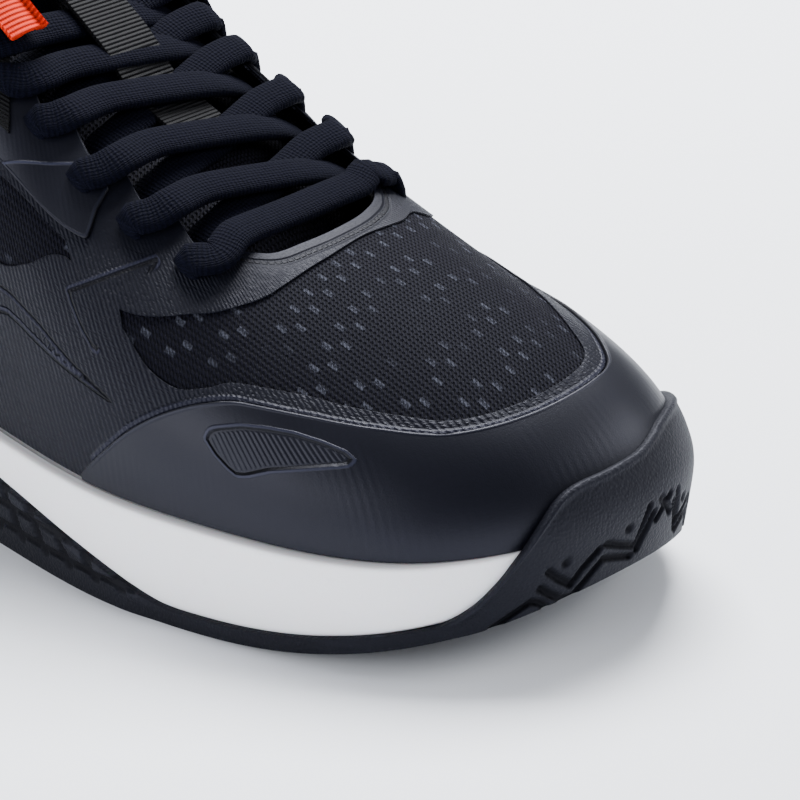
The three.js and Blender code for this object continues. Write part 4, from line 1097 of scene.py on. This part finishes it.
def makeUpper():
    step, foot, base = upper["step"], always(upper["baseFoot"]), layers["base"]
    underThroat = lambda u: throatEdge(u) - 0.004
    upperSkin("vamp_knit", upper["vamp"], foot, underThroat, upper["baseRows"], base, "mesh", "mesh",
              step=step, flat=vampFlat, depth=upper["baseDepth"], replaces=["vamp_mesh"])
    for outer in (True, False):
        side = "outer" if outer else "inner"
        upperSkin("quarter_knit_" + side, bothEnds(upper["quarter"], outer), foot, always(0.98), 40, base,
                  "plainMesh", "mesh", step=0.07, depth=upper["baseDepth"], replaces=["quarter_base_" + side])
    makeFilm()
    fin = lambda u, v: outlineDistance(u, v, capFin)
    marks = {"fin": fin, "rim": lambda u, v: -capRim(u, v), "fold": plain}
    upperSkin("toe_cap_skin", upper["cap"], always(upper["foot"]), edgeOf(capEdge), 44, layers["overlay"],
              "cap", "cap", step=step, depth=upper["overlayDepth"], edge=0.25, marks=marks,
              replaces=["toe_cap"])
    for outer in (True, False):
        side = "outer" if outer else "inner"
        low = lambda u, outer=outer: curveAt(eyestayLow, mirrored(u, outer))
        fold = onEachSide(edgeDistance, edgeOf(eyestayFold))
        upperSkin("eyestay_skin_" + side, bothEnds(upper["eyestay"], outer), low, throatEdge, 26,
                  layers["overlay"], "cap", "cap", step=0.025, depth=upper["overlayDepth"], edge=0.2,
                  marks={"fin": plain, "rim": edgeRim(low, throatEdge), "fold": fold},
                  replaces=["eyestay_" + side])
        makeStrap(side, outer)


def makeStrap(side, outer):
    cells = (strap["columns"], strap["rows"])

    def spot(i, j):
        v = strap["low"] + (strap["high"] - strap["low"]) * j / cells[1]
        u = strap["front"] - strap["lean"] * (strap["high"] - v) - strap["width"] * (1 - i / cells[0])
        return mirrored(u, outer), v

    def flat(i, j):
        u, v = spot(i, j)
        return v * heightOf(u), alongOf(u)

    def place(i, j):
        return upperPoint(*spot(i, j), layers["strap"])

    gridPiece("support_strap_skin_" + side, cells, place, flat, "webbing", "webbing", depth=strap["depth"],
              edge=0.2, replaces=["support_strap_" + side])


collar = {
    "padding": 6, "paddingFrom": 0.45, "end": 5.2, "fade": 1.2, "liningThickness": 0.7, "liningDrop": 0.014,
    "radius": 2.8, "gap": 0.3, "sunk": 1.48, "rollHeight": 5.9, "rollWidth": 6.1,
}


# How far the padding pushes the lining in, fading towards the front of the collar
def padding(u, v):
    side = outerPlace(np.mod(u, stationCount))
    share = np.sin(np.pi * np.clip((v - collar["paddingFrom"]) / (1 - collar["paddingFrom"]), 0, 1)) ** 0.8
    return collar["padding"] * share * np.clip((collar["end"] - side) / collar["fade"], 0, 1)


def makeLining():
    inner = lambda u, v: layers["lining"] - padding(u, v)
    top = lambda u: throatEdge(u) - collar["liningDrop"]
    back = upper["quarter"][1]
    for name, span, node in (("lining_front", upper["vamp"], "vamp_lining"),
                             ("lining_back", (-back, back), "quarter_lining")):
        upperSkin(name, span, always(upper["baseFoot"]), top, 40, inner, "lining", "lining", step=0.08,
                  depth=-collar["liningThickness"], replaces=[node])
    line = []
    for u in np.linspace(collar["end"], -collar["end"], 60):
        up = unit(upPoint(u, 1, 0) - upPoint(u, 0.97, 0))
        centre = upPoint(u, 1, -collar["sunk"]) + up * (collar["radius"] + collar["gap"])
        line.append(row(centre, up, collar["rollHeight"], collar["rollWidth"]))
    roll, _ = sweepPiece("collar_roll", line, "lining", "lining", spacing=2.0, square=0.95,
                         replaces=["collar_rim"])


heelClip = {"reach": 2.4, "top": 0.5, "fall": 0.06, "proud": 0.5, "depth": 1.1, "edge": 0.4}
heelTab = {
    "width": 14, "thickness": 1.5, "off": 0.9, "leaveFrom": 0.84, "leave": 22,
    "sewn": [0.6, 0.72, 0.84, 0.94],
    "loop": [[-1.5, 6], [-2, 13], [0.5, 17.5], [4.5, 18.5], [8, 16]],
}


def makeHeel():
    top = lambda u: heelClip["top"] - heelClip["fall"] * u * u
    upperSkin("heel_clip_skin", (-heelClip["reach"], heelClip["reach"]), always(upper["foot"]), top, 30,
              layers["overlay"] + heelClip["proud"], "plastic", "plastic", step=0.06, depth=heelClip["depth"],
              edge=heelClip["edge"], replaces=["heel_clip"])
    away = [heelTab["off"] + max(0, v - heelTab["leaveFrom"]) * heelTab["leave"] for v in heelTab["sewn"]]
    low = [upPoint(0, v, off) for v, off in zip(heelTab["sewn"], away)]
    high = [low[-1] + np.array([x, 0, z]) for x, z in heelTab["loop"]]
    line = [row(p, [0, 1, 0], heelTab["width"], heelTab["thickness"]) for p in low + high]
    sweepPiece("heel_pull_tab", line, "webbing", "webbing", spacing=1.0, square=0.4, replaces=["heel_tab"])


makeUpper()
makeLining()
makeHeel()

print("stage: tongue")
tongue = {"thickness": 4.5, "drop": 3, "crown": 0.008, "from": 226, "to": 74, "quilt": 0.25}
webbing = {"halfWidth": 7.5, "from": 181, "loopFrom": 155, "loopTo": 133, "top": 88, "depth": 1.0}
label = {
    "from": 96, "to": 147.5, "inner": -19.5, "width": 9.5, "depth": 1.6, "crown": 0.012, "bulge": 0.5,
    "heights": [[96, -0.5], [110, 0.5], [124, 5.2], [152, 5.6]],
}


def tongueTop(y):
    return -tongue["drop"] - tongue["crown"] * y * y


def makeTongue():
    cells = (150, 48)

    def place(i, j):
        x = tongue["from"] + (tongue["to"] - tongue["from"]) * i / cells[0]
        angle = 2 * np.pi * j / cells[1]
        y = curveAt(tongueHalves, x) * np.cos(angle)
        thick = tongue["thickness"] / 2
        lift = np.sign(np.sin(angle)) * np.abs(np.sin(angle)) ** 0.6 * thick
        quilt = tongue["quilt"] * np.sin(x * 0.35) * np.maximum(np.sin(angle), 0)
        return overThroat(x, y, tongueTop(y) - curveAt(tongueSinks, x) - thick + lift + quilt)

    def flat(i, j):
        points = place(i, j)
        return points[:, 0] * 1.2, points[:, 1]

    pad = gridPiece("tongue_pad", cells, place, flat, "plainMesh", "mesh", closed=True, replaces=["tongue"])


# The webbing lies on the tongue and stands up over the laces between loopFrom and loopTo
def makeWebbing():
    loopFrom, loopTo = webbing["loopFrom"], webbing["loopTo"]
    heights = [
        [-(loopTo - 9), 0.2], [-(loopTo - 1), 3.4], [-(loopTo + loopFrom) / 2, 3.9], [-loopFrom, 3],
        [-(loopFrom + 9), -0.6], [-webbing["from"], -0.9],
    ][::-1]
    cells = (140, 14)

    def place(i, j, lift=0.5):
        x = webbing["from"] + (webbing["top"] - webbing["from"]) * i / cells[0]
        y = webbing["halfWidth"] * (1 - 2 * j / cells[1])
        lying = np.clip((loopTo - x) / 8, 0, 1)
        return overThroat(x, y, lying * tongueTop(y) + curveAt(heights, -x) + lift)

    def flat(i, j):
        middle = place(np.arange(cells[0] + 1.0), np.full(cells[0] + 1, cells[1] / 2))
        run = np.concatenate([[0], np.cumsum(np.linalg.norm(np.diff(middle, axis=0), axis=1))])
        return run[i.astype(int)], webbing["halfWidth"] * (1 - 2 * j / cells[1])

    gridPiece("keeper_webbing", cells, place, flat, "webbing", "webbing", depth=webbing["depth"], edge=0.25,
              replaces=["tongue_webbing"])


# The tape starts on the tongue and lies along it over the laces
def makeLabel():
    cells = (90, 18)

    def spot(i, j):
        x = label["from"] + (label["to"] - label["from"]) * i / cells[0]
        return x, label["inner"] - label["width"] * j / cells[1]

    def place(i, j):
        x, y = spot(i, j)
        bulge = label["bulge"] * np.sin(np.pi * j / cells[1])
        return overThroat(x, y, curveAt(label["heights"], x) - label["crown"] * (y + 20) ** 2 + bulge)

    gridPiece("tongue_label_skin", cells, place, spot, "orange", "orange", depth=label["depth"], edge=0.5,
              replaces=["tongue_label"])


makeTongue()
makeWebbing()
makeLabel()

print("stage: sole")
sole = {
    "rubber": 3.2, "wallRows": 64, "wallStep": 0.018, "guardOut": 0.4, "slabOut": -0.2, "guardThin": 0.7,
    "tuck": 4, "tuckAt": 12.2, "tuckReach": 2.8, "bead": 0.5, "lipTurn": 1.6, "footTurn": 1.9,
}
wrapSpans = {"outer": (3.5, 7.9), "inner": (17, 19.7), "guard": (9.9, 16.2)}
wrapBlocks = {
    "spans": ((3.9, 7.4), (17.3, 19.4)), "length": 8.5, "gap": 2.2, "course": 5.2, "courseGap": 1.1,
    "lean": 0.55, "from": 3.4, "soft": 0.5, "depth": 0.75,
}
tread = {
    "depth": 1.1, "zigLength": 11.5, "zigWidth": 6, "pitch": 9.0, "half": 1.5, "soft": 0.5, "arch": (84, 142),
    "inset": 1.7, "cells": (420, 130),
}
guardGrooves = {"depth": 1.1, "half": 0.4, "soft": 0.45, "dimple": 0.8, "dimpleRadius": 1.3, "mirror": 24.4}
guardLines = [
    [[11, 0.689], [11.1, 0.462], [11.22, 0.227], [11.32, 0.462], [11.46, 0.69]],
    [[10.93, 0.42], [11.03, 0.214], [11.13, 0.05], [11.25, 0], [11.38, 0.214], [11.5, 0.448], [11.64, 0.334],
     [11.79, 0.214]],
    [[11.52, 0.716], [11.67, 0.535], [11.83, 0.381], [11.88, 0.669], [11.95, 1.05]],
    [[11.86, 0.274], [11.94, 0.575], [12.02, 0.883]],
    [[12.08, 0.7], [12.17, 0.9], [12.28, 1.07]],
    [[10.48, 0], [10.67, 0.127], [10.84, 0.234], [10.93, 0.14], [11, 0]],
]
guardDimples = [[11.16, 0.716], [11.73, 0.803]]


# Places along the sole in pairs, one on each side at the same distance from the heel
def solePairs(count):
    outer = toeStation * (1 - np.cos(np.linspace(0, np.pi, count + 1))) / 2
    inner = np.linspace(toeStation, stationCount, 2000)
    there = outlineAt(inner, 0)[0][:, 0]
    x = outlineAt(outer, 0)[0][:, 0]
    found = np.interp(-x, -there, inner)
    found[0], found[-1] = stationCount, toeStation
    return outer, found


def soleGrid(name, cells, inset, height, look, slot, level=1.0, **more):
    outer, inner = solePairs(cells[0])

    def place(i, j):
        share = j / cells[1]
        i = i.astype(int)
        a = outlineAt(outer[i], inset + toeTuck(outer[i], level))[0]
        b = outlineAt(inner[i], inset + toeTuck(inner[i], level))[0]
        flatPoint = a + (b - a) * share[:, None]
        return np.concatenate([flatPoint, height(flatPoint[:, 0], flatPoint[:, 1], share)[:, None]], -1)

    def flat(i, j):
        points = place(i, j)
        return points[:, 0], points[:, 1]

    return gridPiece(name, cells, place, flat, look, slot, **more)


# How far the toe of the sole draws in towards the ground
def toeTuck(u, height):
    near = np.clip(1 - ((u - sole["tuckAt"]) / sole["tuckReach"]) ** 2, 0, 1) ** 1.5
    return sole["tuck"] * near * (0.4 + 0.6 * (1 - np.clip(height, 0, 1)) ** 1.2)


def within(u, span):
    return (u > span[0]) & (u < span[1])


# How high the rubber comes up the wall: the plain slab, and the wraps and the toe guard above it
def wallTop(u):
    x = outlineAt(u, 0)[0][:, 0]
    slab = sole["rubber"] / (curveAt(biteHeights, x) - groundAt(x))
    wraps = np.maximum(curveAt(outerWrapTop, u), curveAt(innerWrapTop, u))
    wraps = np.where(within(u, wrapSpans["outer"]) | within(u, wrapSpans["inner"]), wraps, 0)
    guard = np.where(within(u, wrapSpans["guard"]), curveAt(guardTop, u), 0)
    return slab, np.maximum(wraps, guard)


# How deep the zigzag grooves and dimples cut into the guard, and the blocks into the wraps
def guardCut(u, up, wall):
    along = alongOf(u)
    depth = np.zeros(u.shape)
    toeWall = float(np.interp(toeStation, u, wall))
    half, soft = guardGrooves["half"], guardGrooves["soft"]
    for mirror in (False, True):
        def spotOf(place):
            u = guardGrooves["mirror"] - place[0] if mirror else place[0]
            return float(alongOf(u)), place[1] * toeWall

        for line in guardLines:
            spots = [spotOf(place) for place in line]
            for a, b in zip(spots, spots[1:]):
                near = toSegment(along, up, a, b)
                depth = np.maximum(depth, np.clip((half + soft - near) / soft, 0, 1))
        for x, y in map(spotOf, guardDimples):
            near = np.hypot(along - x, up - y)
            dimple = np.clip(guardGrooves["dimpleRadius"] - near, 0, 1) * guardGrooves["dimple"]
            depth = np.maximum(depth, dimple)
    side = np.where(within(u, wrapBlocks["spans"][0]) | within(u, wrapBlocks["spans"][1]), 1.0, 0.0)
    brick = blockShare(along + up * wrapBlocks["lean"], wrapBlocks["length"], wrapBlocks["gap"])
    course = blockShare(up, wrapBlocks["course"], wrapBlocks["courseGap"])
    blocks = (1 - brick * course) * np.clip(up - wrapBlocks["from"], 0, 1) * wrapBlocks["depth"]
    return np.maximum(depth, side * blocks)


# 1 on a row of blocks and 0 in the gaps between them
def blockShare(at, pitch, gap):
    at = np.mod(at, pitch)
    return np.clip(np.minimum(at - gap, pitch - at) / wrapBlocks["soft"], 0, 1)


# Distances from the rubber's top rim are height shares times wallPerHeight, in millimetres
wallPerHeight = 26


def makeOutsole():
    columns = round(stationCount / sole["wallStep"])
    rows = sole["wallRows"]

    def lie(i, j):
        u = stationCount * i / columns
        share = j / rows
        slab, raised = wallTop(u)
        top = np.maximum(slab, raised)
        up = np.clip((share - 0.1) / 0.8, 0, 1)
        x = outlineAt(u, 0)[0][:, 0]
        wall = curveAt(biteHeights, x) - groundAt(x)
        proud = np.clip((raised - slab) * wall / 3, 0, 1)
        proud = proud * proud * (3 - 2 * proud)
        return u, top * up, top, proud, up * top * wall, share, wall

    def nearRim(height, top, below, half):
        return np.exp(-(((height - top) * wallPerHeight + below) / half) ** 2)

    def place(i, j):
        u, height, top, proud, up, share, wall = lie(i, j)
        out = sole["slabOut"] + (sole["guardOut"] - sole["slabOut"]) * proud
        below = np.clip((0.1 - share) / 0.1, 0, 1)
        above = np.clip((share - 0.9) / 0.1, 0, 1)
        bead = proud * sole["bead"] * nearRim(height, top, 1.3, 1.1)
        cut = guardCut(u, up, wall) * proud * guardGrooves["depth"] * (1 - above) * (1 - below)
        lipTurn = sole["lipTurn"] + 0.8 * np.clip(top - 1, 0, 1)
        turned = lipTurn * (1 - np.cos(above * np.pi / 2))
        turned = turned + sole["footTurn"] * (1 - np.cos(below * np.pi / 2))
        off = out + bead - cut - turned - toeTuck(u, height)
        thin = sole["guardThin"] * np.clip(height - 1, 0, 1.1) / 1.1
        points = wallPoint(u, height, off, biteInset + off - thin)
        points[:, 2] += np.sin(above * np.pi / 2) * 0.4
        return points

    def flat(i, j):
        u, _, _, _, up, _, _ = lie(i, j)
        return alongOf(u), up

    def pit(i, j):
        u, _, _, proud, up, _, wall = lie(i, j)
        return guardCut(u, up, wall) * proud

    def lip(i, j):
        _, height, top, proud, _, _, _ = lie(i, j)
        return proud * nearRim(height, top, 1.0, 1.0)

    gridPiece("outsole_wall", (columns, rows), place, flat, "rubber", "rubber", closed=True,
              marks={"pit": pit, "lip": lip}, replaces=["outsole"])

    def treadCut(x, y):
        zig = np.abs(np.mod(y / tread["zigLength"], 1) * 2 - 1) * tread["zigWidth"]
        lane = np.mod(x + zig, tread["pitch"])
        groove = np.clip((tread["half"] - np.abs(lane - tread["pitch"] / 2)) / tread["soft"], 0, 1)
        return np.where(within(x, tread["arch"]), 0, groove) * tread["depth"]

    def under(x, y, share):
        inside = np.clip(np.minimum(share, 1 - share) * 14, 0, 1)
        return groundAt(x) + treadCut(x, y) * inside

    soleGrid("outsole_tread", tread["cells"], tread["inset"], under, "rubber", "rubber", level=0.0,
             replaces=["outsole"])


midsole = {
    "columns": 520, "rows": 26, "inset": 1.6, "swell": 0.75, "rimTurn": 2.4, "footTurn": 1.0,
    "clearance": 0.1, "topCells": (90, 24),
}


def makeMidsole():
    columns, rows = midsole["columns"], midsole["rows"]

    def place(i, j):
        u = stationCount * i / columns
        share = j / rows
        edge = outlineAt(u, 0)[0]
        low = groundAt(edge[:, 0]) + sole["rubber"] + midsole["clearance"]
        high = curveAt(biteHeights, edge[:, 0]) - 0.15
        rim = np.clip((share - 0.88) / 0.12, 0, 1)
        foot = np.clip((0.1 - share) / 0.1, 0, 1)
        swell = midsole["swell"] * np.sin(np.pi * share) ** 0.8
        inset = midsole["inset"] - swell + midsole["rimTurn"] * (1 - np.cos(rim * np.pi / 2))
        inset = inset + midsole["footTurn"] * (1 - np.cos(foot * np.pi / 2))
        edge, _ = outlineAt(u, inset + toeTuck(u, share * 0.85 + 0.15))
        middle = np.clip((share - 0.04) / 0.86, 0, 1)
        z = low + (high - low) * middle + 0.15 * np.sin(rim * np.pi / 2)
        return np.concatenate([edge, z[:, None]], -1)

    def flat(i, j):
        return alongOf(stationCount * i / columns), 22 * j / rows

    gridPiece("midsole_wall", (columns, rows), place, flat, "foam", "foam", closed=True, replaces=["midsole"])

    def top(x, y, share):
        return curveAt(biteHeights, x) - 0.2

    soleGrid("midsole_top", midsole["topCells"], biteInset, top, "foam", "foam", replaces=["midsole"])


footbed = {"inset": 9.2, "above": 1.95, "thickness": 3.6, "cup": 1.2, "rimRise": 0.6, "cells": (200, 60)}


def makeSockliner():
    def top(x, y, share):
        rim = np.clip(1 - np.minimum(share, 1 - share) * 9, 0, 1)
        ends = np.clip((18 - x) / 14, 0, 1)
        edge = np.maximum(rim, ends) ** 2
        heel = footbed["cup"] * np.exp(-((x - 45) / 26) ** 2) * (1 - edge)
        level = curveAt(biteHeights, x) + footbed["above"] + footbed["thickness"]
        return level - heel + footbed["rimRise"] * edge

    soleGrid("sockliner_skin", footbed["cells"], footbed["inset"], top, "lining", "lining", body="sockliner",
             depth=3.2, edge=0.8, replaces=["sockliner"])


makeOutsole()
makeMidsole()
makeSockliner()

print("stage: kept solids")
keptLooks = {
    "midfoot_shank": "plastic", "heel_cushion": "orange", "insole_board": "board", "heel_counter": "plastic",
    "toe_puff": "plastic", "collar_padding": "padding",
}
for name, look in keptLooks.items():
    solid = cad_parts[name]
    solid = solid if isinstance(solid, bpy.types.Object) else bpy.data.objects[name]
    for slot in solid.material_slots:
        slot.material = materials[look]

print("stage: floor and lights")
studio = {
    "tint": (0.96, 0.975, 1), "floor": "f8fafe", "shade": "f3f5fa", "sky": (0.9, 0.93, 1, 1), "world": 0.46,
    "aim": (0.05, 0, 0.04), "floorHalf": 12,
    "lights": {
        "key": [(-0.3, 0.5, 1.05), (0.8, 0.6), 56],
        "fill": [(-0.4, -1.1, 0.35), (1.3, 0.5), 13],
        "rim": [(0.9, 0.9, 0.7), (0.7, 0.5), 10],
    },
}


def makeFloor():
    mesh = bmesh.new()
    bmesh.ops.create_grid(mesh, x_segments=1, y_segments=1, size=studio["floorHalf"])
    data = bpy.data.meshes.new("floor")
    mesh.to_mesh(data)
    mesh.free()
    floor = bpy.data.objects.new("floor", data)
    bpy.context.scene.collection.objects.link(floor)
    graph = Graph("floor", {"Specular IOR Level": 0.2})
    cloud = graph.noise(graph.solid(), 2, 1)
    color = graph.blend(cloud, tint(studio["shade"]), tint(studio["floor"]))
    data.materials.append(graph.finish(color, 0.8 + cloud * 0.05))


def areaLight(name, spot, size, power):
    light = bpy.data.lights.new(name, "AREA")
    light.shape = "RECTANGLE"
    light.size, light.size_y = size
    light.energy = power
    light.color = studio["tint"]
    lamp = bpy.data.objects.new(name, light)
    lamp.location = spot
    lamp.rotation_euler = (Vector(studio["aim"]) - Vector(spot)).to_track_quat("-Z", "Y").to_euler()
    bpy.context.scene.collection.objects.link(lamp)


def makeLights():
    world = bpy.data.worlds.new("studio")
    bpy.context.scene.world = world
    world.use_nodes = True
    back = world.node_tree.nodes["Background"]
    back.inputs["Color"].default_value = studio["sky"]
    back.inputs["Strength"].default_value = studio["world"]
    for name, light in studio["lights"].items():
        areaLight(name, *light)


makeFloor()
makeLights()
